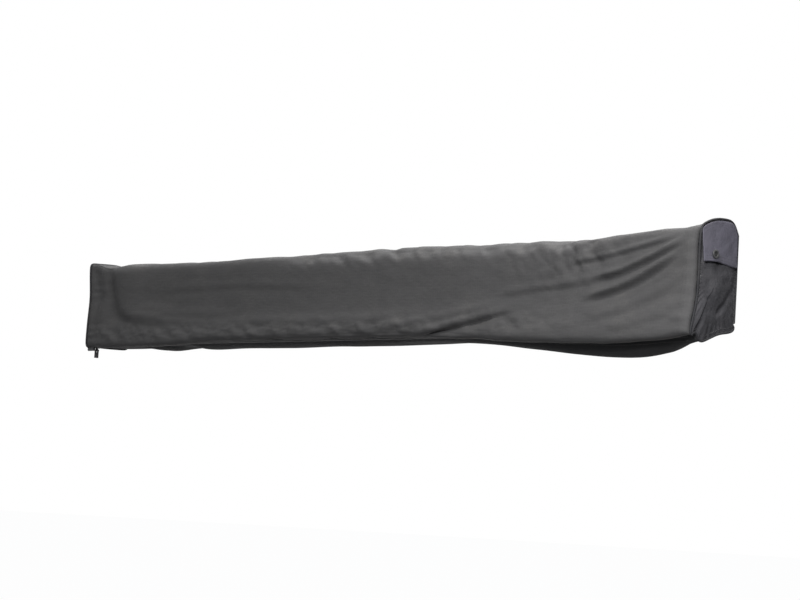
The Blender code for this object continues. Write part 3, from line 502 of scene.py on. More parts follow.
def thicken(made: Obj, thickness: float, inward: bool = True) -> Obj:
    """Give a cloth surface its wall with a Solidify modifier, inwards or to both sides.

    Args:
        made: the cloth.
        thickness: the wall's thickness.
        inward: whether the wall lies behind the surface or to both sides.

    Returns:
        The cloth.
    """
    wall = made.modifiers.new("cloth wall", "SOLIDIFY")
    wall.thickness = thickness
    wall.offset = -1.0 if inward else 0.0
    wall.use_even_offset = False
    return made


# Shader node groups


@dataclass
class Wires:
    """Short ways to lay nodes in one tree."""

    tree: Tree

    def node(self, kind: str, **settings: object) -> Node:
        """Add a node and set its properties.

        Args:
            kind: the node's type.
            settings: its properties.

        Returns:
            The node.
        """
        made = self.tree.nodes.new(kind)
        for key, value in settings.items():
            setattr(made, key, value)
        return made

    def fed(self, kind: str, inputs: dict[str | int, object], **settings: object) -> Node:
        """Add a node, set its properties and feed its inputs.

        Args:
            kind: the node's type.
            inputs: sockets or plain values by input.
            settings: its properties.

        Returns:
            The node.
        """
        made = self.node(kind, **settings)
        for key, value in inputs.items():
            self.feed(made.inputs[key], value)
        return made

    def feed(self, target: Socket, source: object) -> None:
        """Link a socket, or set a plain value.

        Args:
            target: the input.
            source: a socket or a plain value.
        """
        if isinstance(source, bpy.types.NodeSocket):
            self.tree.links.new(source, target)
        else:
            target.default_value = source

    def math(self, operation: str, *values: object, clamp: bool = False) -> Socket:
        """Add a Math node and return its result."""
        return self.fed("ShaderNodeMath", dict(enumerate(values)), operation=operation,
                        use_clamp=clamp).outputs[0]

    def times(self, first: object, second: object) -> Socket:
        """Multiply two numbers."""
        return self.math("MULTIPLY", first, second)

    def line(self, value: object, slope: object, start: object, clamp: bool = False) -> Socket:
        """Return value * slope + start."""
        return self.math("MULTIPLY_ADD", value, slope, start, clamp=clamp)

    def parts(self, vector: Socket) -> Sockets:
        """Split a vector into its three numbers."""
        return self.fed("ShaderNodeSeparateXYZ", {0: vector}).outputs

    def stretch(self, vector: Socket, scale: Sequence[float]) -> Socket:
        """Multiply a vector part by part and return the result."""
        return self.fed("ShaderNodeVectorMath", {0: vector, 1: scale},
                        operation="MULTIPLY").outputs[0]

    def noise(self, vector: Socket, scale: object, detail: float, roughness: float = 0.5) -> Socket:
        """Add a Noise texture and return its factor."""
        return self.fed("ShaderNodeTexNoise", {"Vector": vector, "Scale": scale, "Detail": detail,
                                               "Roughness": roughness}).outputs["Fac"]

    def band(self, value: Socket, low: float, high: float) -> Socket:
        """Map low to 0 and high to 1 with a smooth step."""
        return self.fed("ShaderNodeMapRange", {"Value": value, "From Min": low, "From Max": high},
                        interpolation_type="SMOOTHSTEP").outputs["Result"]

    def blend(self, share: object, first: object, second: object) -> Socket:
        """Mix two colours by a share and return the colour."""
        return self.fed("ShaderNodeMix", {"Factor": share, 6: first, 7: second},
                        data_type="RGBA").outputs[2]

    def bump(self, height: Socket, strength: float, distance: float,
             onto: Socket | None = None) -> Socket:
        """Add a Bump node and return its normal.

        Args:
            height: the height's socket.
            strength: the node's strength.
            distance: how deep it goes in metres.
            onto: a normal that it is laid over.

        Returns:
            The normal.
        """
        inputs = {"Strength": strength, "Distance": distance, "Height": height}
        if onto is not None:
            inputs["Normal"] = onto
        return self.fed("ShaderNodeBump", inputs).outputs["Normal"]

    def group(self, tree: Tree, vector: Socket, **inputs: object) -> Sockets:
        """Place a node group, feed it, underscores standing for spaces, and return its outputs."""
        named = {key.replace("_", " "): value for key, value in inputs.items()}
        return self.fed("ShaderNodeGroup", {"Vector": vector, **named}, node_tree=tree).outputs


def new_group(name: str, inputs: dict[str, float], outputs: Sequence[str]
              ) -> tuple[Wires, Sockets, Sockets]:
    """Start a shader node group with a vector input and named number sockets.

    Args:
        name: the group's name.
        inputs: each number input's name and first value.
        outputs: the outputs' names.

    Returns:
        The group's wires, what comes in and what goes out.
    """
    tree = bpy.data.node_groups.new(name, "ShaderNodeTree")
    tree.interface.new_socket("Vector", in_out="INPUT", socket_type="NodeSocketVector")
    for label, value in inputs.items():
        socket = tree.interface.new_socket(label, in_out="INPUT", socket_type="NodeSocketFloat")
        socket.default_value = value
    for label in outputs:
        tree.interface.new_socket(label, in_out="OUTPUT", socket_type="NodeSocketFloat")
    wires = Wires(tree)
    return wires, wires.node("NodeGroupInput").outputs, wires.node("NodeGroupOutput").inputs


@cache
def weave() -> Tree:
    """Plain weave with a thicker rib every few threads: sin * sin, and narrow ridges.

    Returns:
        The node group.
    """
    wires, put, out = new_group(
        "cloth weave", {"Pitch": 0.001, "Rib Pitch": 0.006, "Rib": 0.3}, ["Height"])
    sines, ribs = [], []
    for part in wires.parts(put["Vector"])[:2]:
        turns = wires.math("DIVIDE", part, put["Pitch"])
        sines.append(wires.math("SINE", wires.times(turns, math.tau)))
        wide = wires.times(wires.math("DIVIDE", part, put["Rib Pitch"]), math.pi)
        ribs.append(wires.math("POWER", wires.math("ABSOLUTE", wires.math("COSINE", wide)), 24.0))
    ridge = wires.times(wires.math("MAXIMUM", *ribs), put["Rib"])
    wires.feed(out["Height"], wires.math("ADD", wires.line(wires.times(*sines), 0.35, 0.5), ridge))
    return wires.tree


@cache
def mottle() -> Tree:
    """Uneven shade in two sizes of noise, about one in the middle.

    Returns:
        The node group.
    """
    wires, put, out = new_group(
        "uneven shade", {"Scale": 6.0, "Contrast": 0.2}, ["Shade", "Pattern"])
    broad = wires.noise(put["Vector"], put["Scale"], 3.0)
    fine = wires.noise(put["Vector"], wires.times(put["Scale"], 9.0), 4.0, 0.6)
    both = wires.math("ADD", wires.times(broad, 0.7), wires.times(fine, 0.3))
    swing = wires.times(wires.math("SUBTRACT", both, 0.5), put["Contrast"])
    wires.feed(out["Shade"], wires.line(swing, 2.0, 1.0))
    wires.feed(out["Pattern"], both)
    return wires.tree


@cache
def road_dust() -> Tree:
    """Road dust in patches, thicker on faces that look up.

    Returns:
        The node group.
    """
    wires, put, out = new_group("road dust", {"Amount": 0.3}, ["Mask"])
    normal = wires.node("ShaderNodeNewGeometry").outputs["Normal"]
    lying = wires.band(wires.parts(normal)[2], -0.1, 0.9)
    patch = wires.band(wires.noise(put["Vector"], 14.0, 5.0, 0.62), 0.42, 0.72)
    fine = wires.band(wires.noise(put["Vector"], 260.0, 2.0), 0.40, 0.62)
    some = wires.times(patch, wires.line(fine, 0.6, 0.4))
    more = wires.line(lying, 0.75, 0.25)
    wires.feed(out["Mask"], wires.times(wires.times(some, more), put["Amount"]))
    return wires.tree


@cache
def scuff_marks() -> Tree:
    """Sparse thin marks that run along X, cut out of stretched noise.

    Returns:
        The node group.
    """
    wires, put, out = new_group("scuff marks", {"Amount": 0.3}, ["Mask"])
    long = wires.noise(wires.stretch(put["Vector"], (9.0, 160.0, 160.0)), 1.0, 3.0)
    where = wires.band(wires.noise(put["Vector"], 11.0, 2.0), 0.48, 0.62)
    marks = wires.times(wires.band(long, 0.60, 0.66), where)
    wires.feed(out["Mask"], wires.times(marks, put["Amount"]))
    return wires.tree


@cache
def die_lines() -> Tree:
    """Die lines of a drawn profile: noise stretched hard along one axis.

    Returns:
        The node group.
    """
    wires, put, out = new_group("die lines", {"Fineness": 1.0}, ["Height"])
    lines = wires.stretch(put["Vector"], (1.5, 900.0, 900.0))
    wires.feed(out["Height"], wires.noise(lines, put["Fineness"], 2.0, 0.6))
    return wires.tree


@cache
def pebble_grain() -> Tree:
    """Fine pebbled grain of moulded plastic, a casting's skin or powder paint.

    Returns:
        The node group.
    """
    wires, put, out = new_group("pebble grain", {"Size": 0.0012}, ["Height"])
    per_metre = wires.math("DIVIDE", 1.0, put["Size"])
    cells = wires.fed("ShaderNodeTexVoronoi", {"Vector": put["Vector"], "Scale": per_metre},
                      feature="SMOOTH_F1").outputs["Distance"]
    soft = wires.noise(put["Vector"], per_metre, 2.0)
    wires.feed(out["Height"], wires.line(cells, 0.6, wires.times(soft, 0.4)))
    return wires.tree


# Finishes

DUST = (0.30, 0.28, 0.25, 1.0)
METAL_DUST = (0.32, 0.30, 0.27, 1.0)
WORN = (0.16, 0.16, 0.16, 1.0)


@dataclass(frozen=True)
class Paint:
    """What every finish has: a name, a plain colour, a roughness and how it takes dust."""

    name: str
    colour: Colour
    roughness: float

    def start(self) -> tuple[Wires, Sockets, Sockets]:
        """Make the material; return its wires, its shader's inputs and its coordinates.

        Returns:
            The wires, the shader's inputs and the coordinates' sockets.
        """
        made = bpy.data.materials.new(self.name)
        made.use_nodes = True
        wires = Wires(made.node_tree)
        return (wires, wires.tree.nodes["Principled BSDF"].inputs,
                wires.node("ShaderNodeTexCoord").outputs)

    def tinted(self, wires: Wires, factor: Socket) -> Socket:
        """Multiply the plain colour by a factor that changes over the surface."""
        return wires.fed("ShaderNodeVectorMath", {0: self.colour, "Scale": factor},
                         operation="SCALE").outputs[0]

    def settle(self, wires: Wires, put: Sockets, mask: Socket, base: Socket,
               rough: Socket) -> None:
        """Feed colour and roughness, paler and rougher where the mask lays dust."""
        wires.feed(put["Base Color"], wires.blend(mask, base, DUST))
        wires.feed(put["Roughness"], wires.math("ADD", rough, wires.times(mask, 0.3), clamp=True))


@dataclass(frozen=True)
class Cloth(Paint):
    """Coated or plain woven cloth, patterned on its own UVs in metres.

    The colour is the plain colour times an uneven shade, paler where dust lies; the bump is the
    weave over a soft unevenness of the coating.
    """

    pitch: float = 0.0011
    rib_pitch: float = 0.007
    rib: float = 0.25
    weave_depth: float = 0.00022
    contrast: float = 0.16
    shade_scale: float = 5.0
    dust: float = 0.12
    crinkle: float = 0.0006
    sheen: float = 0.0
    specular: float = 0.03

    def build(self) -> bpy.types.Material:
        """Return the cloth's material.

        Returns:
            The material.
        """
        wires, put, place = self.start()
        threads = wires.group(weave(), place["UV"], Pitch=self.pitch, Rib_Pitch=self.rib_pitch,
                              Rib=self.rib)["Height"]
        shade = wires.group(mottle(), place["Object"], Scale=self.shade_scale,
                            Contrast=self.contrast)
        dust = wires.group(road_dust(), place["Object"], Amount=self.dust)["Mask"]
        base = self.tinted(wires, wires.times(shade["Shade"], wires.line(threads, 0.24, 0.86)))
        rough = wires.line(shade["Pattern"], 0.16, self.roughness - 0.08)
        self.settle(wires, put, dust, base, rough)
        crinkle = wires.noise(wires.stretch(place["Object"], (0.6, 1.0, 1.0)), 34.0, 4.0, 0.55)
        soft = wires.bump(crinkle, 0.8, self.crinkle * 6)
        wires.feed(put["Normal"], wires.bump(threads, 0.7, self.weave_depth, soft))
        put["Specular IOR Level"].default_value = self.specular
        put["Sheen Weight"].default_value = self.sheen
        put["Sheen Roughness"].default_value = 0.5
        return bpy.data.materials[self.name]


@dataclass(frozen=True)
class Webbing(Paint):
    """Woven tape: diagonal ribs across its width, on UVs in metres."""

    pitch: float = 0.0018

    def build(self) -> bpy.types.Material:
        """Return the tape's material.

        Returns:
            The material.
        """
        wires, put, place = self.start()
        along, across, _ = wires.parts(place["UV"])
        slant = wires.math("ADD", along, wires.math("PINGPONG", across, self.pitch * 2.4))
        wave = wires.math("SINE", wires.times(slant, math.tau / self.pitch))
        height = wires.line(wave, 0.5, 0.5)
        shade = wires.group(mottle(), place["Object"], Scale=12.0, Contrast=0.3)
        both = wires.times(shade["Shade"], wires.line(height, 0.4, 0.7))
        wires.feed(put["Base Color"], self.tinted(wires, both))
        wires.feed(put["Roughness"], wires.line(shade["Pattern"], 0.12, self.roughness - 0.06))
        wires.feed(put["Normal"], wires.bump(height, 0.8, 0.0004))
        put["Sheen Weight"].default_value = 0.25
        return bpy.data.materials[self.name]


@dataclass(frozen=True)
class Metal(Paint):
    """Anodised, plated or bare metal with die lines, uneven roughness and scuffs."""

    lines: float = 0.00008
    scuffs: float = 0.5
    dust: float = 0.12

    def build(self) -> bpy.types.Material:
        """Return the metal's material.

        Returns:
            The material.
        """
        wires, put, place = self.start()
        body = place["Object"]
        lines = wires.group(die_lines(), body, Fineness=1.0)["Height"]
        shade = wires.group(mottle(), body, Scale=9.0, Contrast=0.10)["Shade"]
        marks = wires.group(scuff_marks(), body, Amount=self.scuffs)["Mask"]
        dust = wires.group(road_dust(), body, Amount=self.dust)["Mask"]
        base = self.tinted(wires, wires.times(shade, wires.line(lines, 0.16, 0.92)))
        pale = tuple(min(1.0, part * 1.25 + 0.08) for part in self.colour)
        marked = wires.blend(marks, base, (*pale, 1.0))
        wires.feed(put["Base Color"], wires.blend(dust, marked, METAL_DUST))
        rough = wires.line(lines, 0.18, self.roughness - 0.09)
        extra = wires.line(dust, 0.4, wires.times(marks, 0.15))
        wires.feed(put["Roughness"], wires.math("ADD", rough, extra, clamp=True))
        wires.feed(put["Metallic"], wires.line(dust, -0.8, 1.0, clamp=True))
        wires.feed(put["Normal"], wires.bump(lines, 0.5, self.lines))
        return bpy.data.materials[self.name]


@dataclass(frozen=True)
class Moulded(Paint):
    """Moulded plastic, rubber, powder paint or a painted casting with a pebbled skin."""

    grain: float = 0.0012
    depth: float = 0.00012
    wear: float = 0.25
    dust: float = 0.20

    def build(self) -> bpy.types.Material:
        """Return the material.

        Returns:
            The material.
        """
        wires, put, place = self.start()
        body = place["Object"]
        grain = wires.group(pebble_grain(), body, Size=self.grain)["Height"]
        shade = wires.group(mottle(), body, Scale=16.0, Contrast=0.22)
        marks = wires.group(scuff_marks(), body, Amount=self.wear)["Mask"]
        dust = wires.group(road_dust(), body, Amount=self.dust)["Mask"]
        worn = wires.blend(marks, self.tinted(wires, shade["Shade"]), WORN)
        rough = wires.line(shade["Pattern"], 0.2, self.roughness - 0.1)
        self.settle(wires, put, dust, worn, rough)
        wires.feed(put["Normal"], wires.bump(grain, 0.6, self.depth))
        return bpy.data.materials[self.name]


class Finish(Enum):
    """Every finish of the awning."""

    BAG = Cloth("bag_pvc_cloth", (0.082, 0.081, 0.082), 0.60)
    # The floor cloth has its own darker tone, and is set darker still as painted shade for the
    # bag's underside.
    BAG_INSIDE = Cloth("bag_floor_cloth_painted_shade", (0.056, 0.056, 0.058), 0.70)
    END = Cloth("bag_end_cloth", (0.062, 0.061, 0.066), 0.64, contrast=0.55, shade_scale=26.0,
                crinkle=0.0011)
    FLAP = Cloth("bag_end_flap_cloth", (0.110, 0.106, 0.130), 0.52, rib=0.1, contrast=0.12)
    CANOPY = Cloth("canopy_ripstop", (0.33, 0.30, 0.245), 0.78, pitch=0.0009, rib_pitch=0.006,
                   rib=0.5, dust=0.05, crinkle=0.0004, sheen=0.2)
    THREAD = Webbing("sewing_thread", (0.040, 0.040, 0.042), 0.75, 0.0009)
    PALE_THREAD = Webbing("canopy_thread", (0.26, 0.24, 0.20), 0.75, 0.0009)
    TAPE = Webbing("black_webbing", (0.022, 0.022, 0.024), 0.82)
    PIPING = Cloth("welt_piping", (0.040, 0.040, 0.043), 0.50, pitch=0.0009, rib=0.0, dust=0.25)
    RAIL = Metal("rail_anodised", (0.44, 0.45, 0.46), 0.42, scuffs=0.12)
    ARM = Metal("arm_anodised", (0.40, 0.41, 0.42), 0.38, scuffs=0.3)
    INNER_LEG = Metal("inner_leg_bright", (0.62, 0.63, 0.64), 0.28)
    ZINC = Metal("zinc_plated_steel", (0.58, 0.575, 0.54), 0.33, scuffs=0.3)
    BLACK_STEEL = Moulded("powder_coated_steel", (0.028, 0.028, 0.030), 0.46, 0.0009, 0.00009)
    CASTING = Moulded("painted_casting", (0.034, 0.034, 0.036), 0.44, 0.0014, 0.00016)
    PLASTIC = Moulded("moulded_nylon", (0.024, 0.024, 0.026), 0.50, 0.0008, 0.00008)
    RUBBER = Moulded("foot_rubber", (0.018, 0.018, 0.018), 0.82, 0.0010, 0.00014, dust=0.4)
    ZIP = Moulded("zip_teeth_resin", (0.030, 0.030, 0.032), 0.38, 0.0006, 0.00004, dust=0.15)

    def get(self) -> bpy.types.Material:
        """Return the finish's material, built on first use."""
        return bpy.data.materials.get(self.value.name) or self.value.build()


def dress(made: Obj, finish: Finish, body: str, replaces: Sequence[str] = (),
          sharp: float | None = None) -> Obj:
    """Give a piece its finish, body, material slot and the nodes it stands for.

    Args:
        made: the piece.
        finish: its finish.
        body: the CAD body it rides on; an empty text leaves it on no body.
        replaces: CAD nodes that it stands for.
        sharp: angle in degrees past which edges stay crisp, if any.

    Returns:
        The piece.
    """
    made.data.materials.append(finish.get())
    if sharp is not None:
        made.data.set_sharp_from_angle(angle=math.radians(sharp))
    if body:
        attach(made, body)
    if replaces:
        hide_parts(*replaces)
    return made


# Travel bag


@dataclass(frozen=True)
class Squeeze:
    """Dresses bag pieces on the cover and gives each its own mesh; its fields are not used."""

    joint: str = "arm_1_swing"
    level: float = 0.0495
    keep: float = 0.05

    def apply(self, made: Obj, level: float | None = None) -> Obj:
        """Give a piece its own copy of its mesh; nothing is flattened.

        Args:
            made: the piece.
            level: not used.

        Returns:
            The piece.
        """
        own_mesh(made)
        return made

    def dressed(self, made: Obj, finish: Finish, slot: str, replaces: Sequence[str] = ()) -> Obj:
        """Dress a piece that rides on the cover and give it its own mesh."""
        return self.apply(dress(made, finish, "cover", replaces))


@dataclass(frozen=True)
class Fold:
    """One fold of the face: a ridge with a valley beside it, along a line of points.

    The line runs through rising places: X if the fold lies, height if it stands upright. The
    ridge lies on the positive side of the line at one width, the valley just on the other.
    """

    places: tuple[float, ...]
    line: tuple[float, ...]
    depth: float
    width: float
    upright: bool = False
    fade: float = 0.25
    tail: float = 1.0

    def height(self, x: Array, high: Array) -> Array:
        """Return the fold's height, depth * (1.25 ridge - 0.75 valley), faded out at its ends.

        Args:
            x: place along the rail.
            high: height.

        Returns:
            Metres outwards.
        """
        place, other = (high, x) if self.upright else (x, high)
        at = through(self.places, self.line, place)
        slope = (through(self.places, self.line, place + SLOPE_STEP) - at) / SLOPE_STEP
        gap = (other - at) / np.sqrt(1 + slope**2)
        low, far = self.places[0], self.places[-1]
        reach = self.fade * (far - low)
        window = ease(low, low + reach, place) * (1 - ease(far - reach, far, place))
        past = 0.75 * self.width * np.where(gap > 0.85 * self.width, self.tail, 1.0)
        ridge = np.exp(-(((gap - 0.85 * self.width) / past) ** 2))
        valley = hill(gap, -0.25 * self.width, 0.60 * self.width)
        return self.depth * window * (1.25 * ridge - 0.75 * valley)


# How far ahead a fold line's slope is read, in metres along it
SLOPE_STEP = 0.004

# The crease that hangs from the front of the zip up the face: its X and its heights
HANGING = ((0.02, 0.08, 0.13, 0.18, 0.24, 0.30, 0.36, 0.46),
           (-0.138, -0.134, -0.1275, -0.1175, -0.1070, -0.0975, -0.0885, -0.0800))

# The face's own folds: front corner first, then the rear crease, then the long soft ones
FACE_FOLDS = (
    Fold((0.56, 0.64, 0.70, 0.76, 0.80, 0.815), (-0.036, -0.024, -0.006, 0.014, 0.032, 0.042),
         0.0058, 0.0090),
    Fold((0.54, 0.60, 0.66, 0.72, 0.77, 0.80), (-0.076, -0.064, -0.049, -0.026, -0.001, 0.018),
         0.0066, 0.0105),
    Fold((0.50, 0.58, 0.66, 0.74, 0.80), (-0.004, 0.004, 0.016, 0.030, 0.040), 0.0026, 0.0070),
    Fold((0.56, 0.66, 0.74, 0.81), (-0.112, -0.095, -0.068, -0.035), 0.0020, 0.0140),
    Fold((0.60, 0.70, 0.78, 0.82), (-0.136, -0.120, -0.096, -0.075), 0.0016, 0.0150),
    Fold((0.30, 0.42, 0.54, 0.62), (-0.060, -0.050, -0.042, -0.034), 0.0020, 0.0110),
    Fold((-0.08, 0.06, 0.20, 0.36), (-0.119, -0.110, -0.094, -0.074), 0.0022, 0.0120),
    Fold((-0.094, -0.080, -0.062, -0.042, -0.020, 0.0, 0.03, 0.070),
         (-0.975, -1.008, -1.034, -1.049, -1.059, -1.066, -1.078, -1.084),
         0.0082, 0.0500, True, 0.20, 2.6),
    Fold((-0.020, 0.0, 0.020, 0.040, 0.064), (-1.122, -1.123, -1.127, -1.134, -1.144),
         0.0029, 0.0280, True),
    Fold((-0.090, -0.060, -0.030, -0.005), (-1.142, -1.130, -1.118, -1.110), 0.0018, 0.0190, True),
    Fold((-0.90, -0.78, -0.60, -0.40, -0.22), (-0.020, -0.014, -0.012, -0.018, -0.028),
         0.0010, 0.0130),
    Fold((-0.95, -0.85, -0.70, -0.55), (-0.052, -0.064, -0.074, -0.078), 0.0013, 0.0140),
    Fold((-0.62, -0.45, -0.25, -0.05, 0.10), (-0.094, -0.096, -0.100, -0.098, -0.090),
         0.0014, 0.0130),
)


@dataclass
class TravelBag:
    """The bag: one sagging shell from the rail's groove to the zip, a floor and two end caps."""

    rear: float = -1.16
    front: float = 0.82
    middle: float = -0.17
    half: float = 0.990
    sewn: float = 0.988
    cap_plane: float = 0.9875
    welt_plane: float = 0.989
    floor_half: float = 0.987
    back_y: float = -0.050
    keder_y: float = -0.05705
    keder_z: float = 0.0402
    rail_top: float = 0.046
    rail_bottom: float = -0.104
    rail_rear: float = -1.037
    rail_end: float = 0.783
    face_y: float = -0.172
    bottom: float = -0.133
    zip_y: float = -0.1535
    zip_half: float = 0.0032
    cloth: float = 0.0018
    thin_cloth: float = 0.0014
    corner: float = 0.022
    hem_y: float = -0.070
    flap_low: float = -0.006
    end_middle: tuple[float, float] = (-0.112, -0.034)
    end_raise: float = 0.0035
    end_bulge: float = 0.009
    welt_radius: float = 0.0022
    bead_radius: float = 0.0026
    eyelet_middle: tuple[float, float] = (-0.122, 0.010)
    eyelet_radius: float = 0.0062
    eyelet_wire: float = 0.0019
    eyelet_hole: float = 0.0050
    columns: int = 520
    around: int = 150
    end_points: int = 180
    squeeze: Squeeze = Squeeze()

    def crown(self, along: Array) -> Array:
        """Return the height of the bag's top, a line through the folds' highs and lows.

        Args:
            along: places along the bag, from its middle.

        Returns:
            Heights.
        """
        return through(
            (-0.99, -0.965, -0.93, -0.90, -0.85, -0.78, -0.70, -0.511, -0.36, -0.203, -0.02, 0.192,
             0.30, 0.42, 0.58, 0.742, 0.811, 0.905, 0.955, 0.99),
            (0.0690, 0.0675, 0.0610, 0.0615, 0.0650, 0.0635, 0.0610, 0.0580, 0.0592, 0.0575, 0.0588,
             0.0575, 0.0560, 0.0535, 0.0515, 0.0500, 0.0550, 0.0590, 0.0590, 0.0600), along)

    def lip(self, along: Array) -> Array:
        """Return how far the lower front edge hangs below the zip.

        Args:
            along: places along the bag, from its middle.

        Returns:
            Metres down.
        """
        return through(
            (-0.99, -0.86, -0.70, -0.40, -0.10, 0.15, 0.24, 0.31, 0.45, 0.60, 0.72, 0.82, 0.90,
             0.95, 0.985),
            (0.0062, 0.0074, 0.0066, 0.0016, 0.0004, 0.0004, 0.0012, 0.0040, 0.0095, 0.0145, 0.0180,
             0.0190, 0.0170, 0.0120, 0.0060), along)

    def belly(self, along: Array) -> Array:
        """Return how far the floor hangs below the zip, deepest towards the front.

        Args:
            along: places along the bag, from its middle.

        Returns:
            Metres down.
        """
        return through(
            (-0.99, -0.93, -0.80, -0.72, -0.66, -0.63, -0.60, -0.55, -0.40, -0.10, 0.10, 0.24, 0.35,
             0.45, 0.56, 0.66, 0.76, 0.84, 0.91, 0.96, 0.99),
            (0.001, 0.002, 0.004, 0.010, 0.009, 0.001, 0.002, 0.007, 0.008, 0.008, 0.007, 0.005,
             0.006, 0.011, 0.020, 0.029, 0.035, 0.036, 0.029, 0.024, 0.017), along)

    def slant(self, along: Array) -> Array:
        """Return where the top edge is slanted by the straps' pull instead of square."""
        return ease(-0.26, -0.12, along) * (1 - ease(0.60, 0.74, along))

    def round_in(self, along: Array) -> Array:
        """Return how far the face draws in at the upright front corner: r - sqrt(r^2 - d^2).

        At the rear it flares out to the stiff cap instead, over the last few centimetres.

        Args:
            along: places along the bag, from its middle.

        Returns:
            Metres inwards.
        """
        d = np.clip(along - (self.half - self.corner), 0.0, self.corner * 0.96)
        drawn = self.corner - np.sqrt(self.corner**2 - d**2) + 0.004 * ease(0.70, 0.97, along)
        return drawn - 0.0042 * (1 - ease(-0.992, -0.950, along))

    def climb(self, along: Array) -> Array:
        """Return the share by which the cover's back edge has climbed to an end cap."""
        return ease(0.955, 0.984, np.abs(along))

    def smooth_section(self, along: Array, samples: int) -> Array:
        """Return the section without folds as (places, samples, YZ).

        It climbs from the rail's groove over a crowned top, turns down at the front, falls
        along the flat face and turns in under it to the zip.

        Args:
            along: places along the bag, from its middle.
            samples: points round each section.

        Returns:
            The sections.
        """
        crown, lip, inward = self.crown(along), self.lip(along), self.round_in(along)
        slant = self.slant(along)
        square = ease(0.89, 0.975, -along)
        round_low = ease(-0.62, -0.48, along) * (1 - 0.75 * ease(0.30, 0.60, along))
        out_low = 0.12 + 0.58 * ease(-0.985, -0.92, along)
        out_low += 0.30 * ease(-0.90, -0.45, along) * (1 - 0.35 * ease(0.85, 0.98, along))
        base = self.rail_top + 0.0024 + 0.012 * self.climb(along)
        rise = 0.0145 * ease(0.950, 0.984, along)
        flat = 1 - self.climb(along)
        face = self.face_y
        rows = [
            (self.keder_y, base),
            (self.keder_y - 0.003, base + 0.4 * rise),
            (self.keder_y - 0.012, base + (0.45 - 0.40 * flat) * (crown - base) + 0.9 * rise),
            (-0.084, crown - 0.001 + rise - 0.35 * flat * (crown - base)),
            (-0.104, crown + 0.0012 + 0.8 * rise),
            (-0.124, crown + 0.0005 + 0.5 * rise),
            (-0.143 + 0.3 * inward, crown - 0.0022 - 0.002 * slant + 0.25 * rise + 0.0015 * square),
            (-0.1570 + 0.005 * slant + 0.6 * inward,
             crown - 0.0050 - 0.004 * slant + 0.1 * rise + 0.0040 * square),
            (-0.1648 + 0.0075 * slant + 0.9 * inward - 0.0032 * square,
             crown - 0.0085 - 0.006 * slant + 0.0066 * square),
            (-0.1685 + 0.0045 * slant + inward - 0.0026 * square,
             crown - 0.0155 - 0.005 * slant + 0.0096 * square),
            (-0.1702 + 0.0004 * slant + inward - 0.0012 * square,
             crown - 0.030 + 0.010 * square),
            (face + 0.0026 + inward, crown - 0.060),
            (face + 0.0034 + inward, crown - 0.090),
            (face + 0.0022 * out_low + inward, self.bottom + 0.064),
            (face - 0.0042 * out_low + 0.0010 * round_low + inward,
             self.bottom + 0.040 - 0.3 * lip),
            (face - 0.0088 * out_low + 0.0016 * round_low + 0.95 * inward,
             self.bottom + 0.0225 + 0.0020 * round_low - 0.7 * lip),
            (face - 0.0104 * out_low + 0.0030 * round_low + 0.85 * inward,
             self.bottom + 0.0098 + 0.0026 * round_low - 0.9 * lip),
            (face - 0.0066 * out_low + 0.0046 * round_low + 0.6 * inward,
             self.bottom + 0.0030 + 0.0038 * round_low - lip),
            (face + 0.0050 + 0.0040 * round_low + 0.3 * inward,
             self.bottom - 0.0002 + 0.0038 * round_low - lip),
            (face + 0.0110 + 0.0014 * round_low + 0.1 * inward,
             self.bottom - 0.0006 + 0.0018 * round_low - 0.7 * lip),
            (self.zip_y - self.zip_half - 0.0024, self.bottom - 0.0004 - 0.08 * lip),
            (self.zip_y - self.zip_half - 0.0004, self.bottom - 0.0002),
        ]
        return section_curves(rows, along, samples)

    def lean(self, x: Array, high: Array) -> Array:
        """Return how far the rear end's top stands out behind its foot, none further along."""
        near = 1 - ease(self.rear + 0.01, self.rear + 0.09, x)
        return -0.0060 * near * ease(-0.04, 0.06, high)

    def placed(self, along: Array, section: Array) -> Array:
        """Put sections (places, samples, YZ) at their X and return the points."""
        x = np.broadcast_to((along + self.middle)[:, None, None], section.shape[:2] + (1,))
        return np.concatenate([x, section], -1)

    def folds(self, x: Array, high: Array, across: Array, front: Array) -> Array:
        """Return how far the cloth stands out from its smooth shape.

        Args:
            x: place along the rail.
            high: height.
            across: metres round the section from the groove.
            front: share by which the cloth faces forward.

        Returns:
            Metres outwards, from a hanging crease, a fan of folds at the top front corner, a
            curved crease at the rear, gathers at the ends and small unevenness.
        """
        total = sum(fold.height(x, high) for fold in FACE_FOLDS) * front

        line = through(HANGING[0], HANGING[1], x)
        gap = (high - line) * 0.95
        strong = ease(0.05, 0.13, x) * (1 - ease(0.25, 0.40, x))
        under = np.where(gap < 0, np.exp(gap / 0.013), np.exp(-gap / 0.0016))
        total += strong * front * (0.0055 * hill(gap, 0.010, 0.009) - 0.0115 * under)

        along = x - self.middle
        rear = np.maximum(along + 0.985, 0.0)
        gather = 0.0012 * np.exp(-rear / 0.04) * np.sin(high * 210 + 3 * np.sin(high * 60))
        ahead = np.maximum(0.985 - along, 0.0)
        gather += 0.0010 * np.exp(-ahead / 0.030) * np.sin(high * 240 + 2.0)

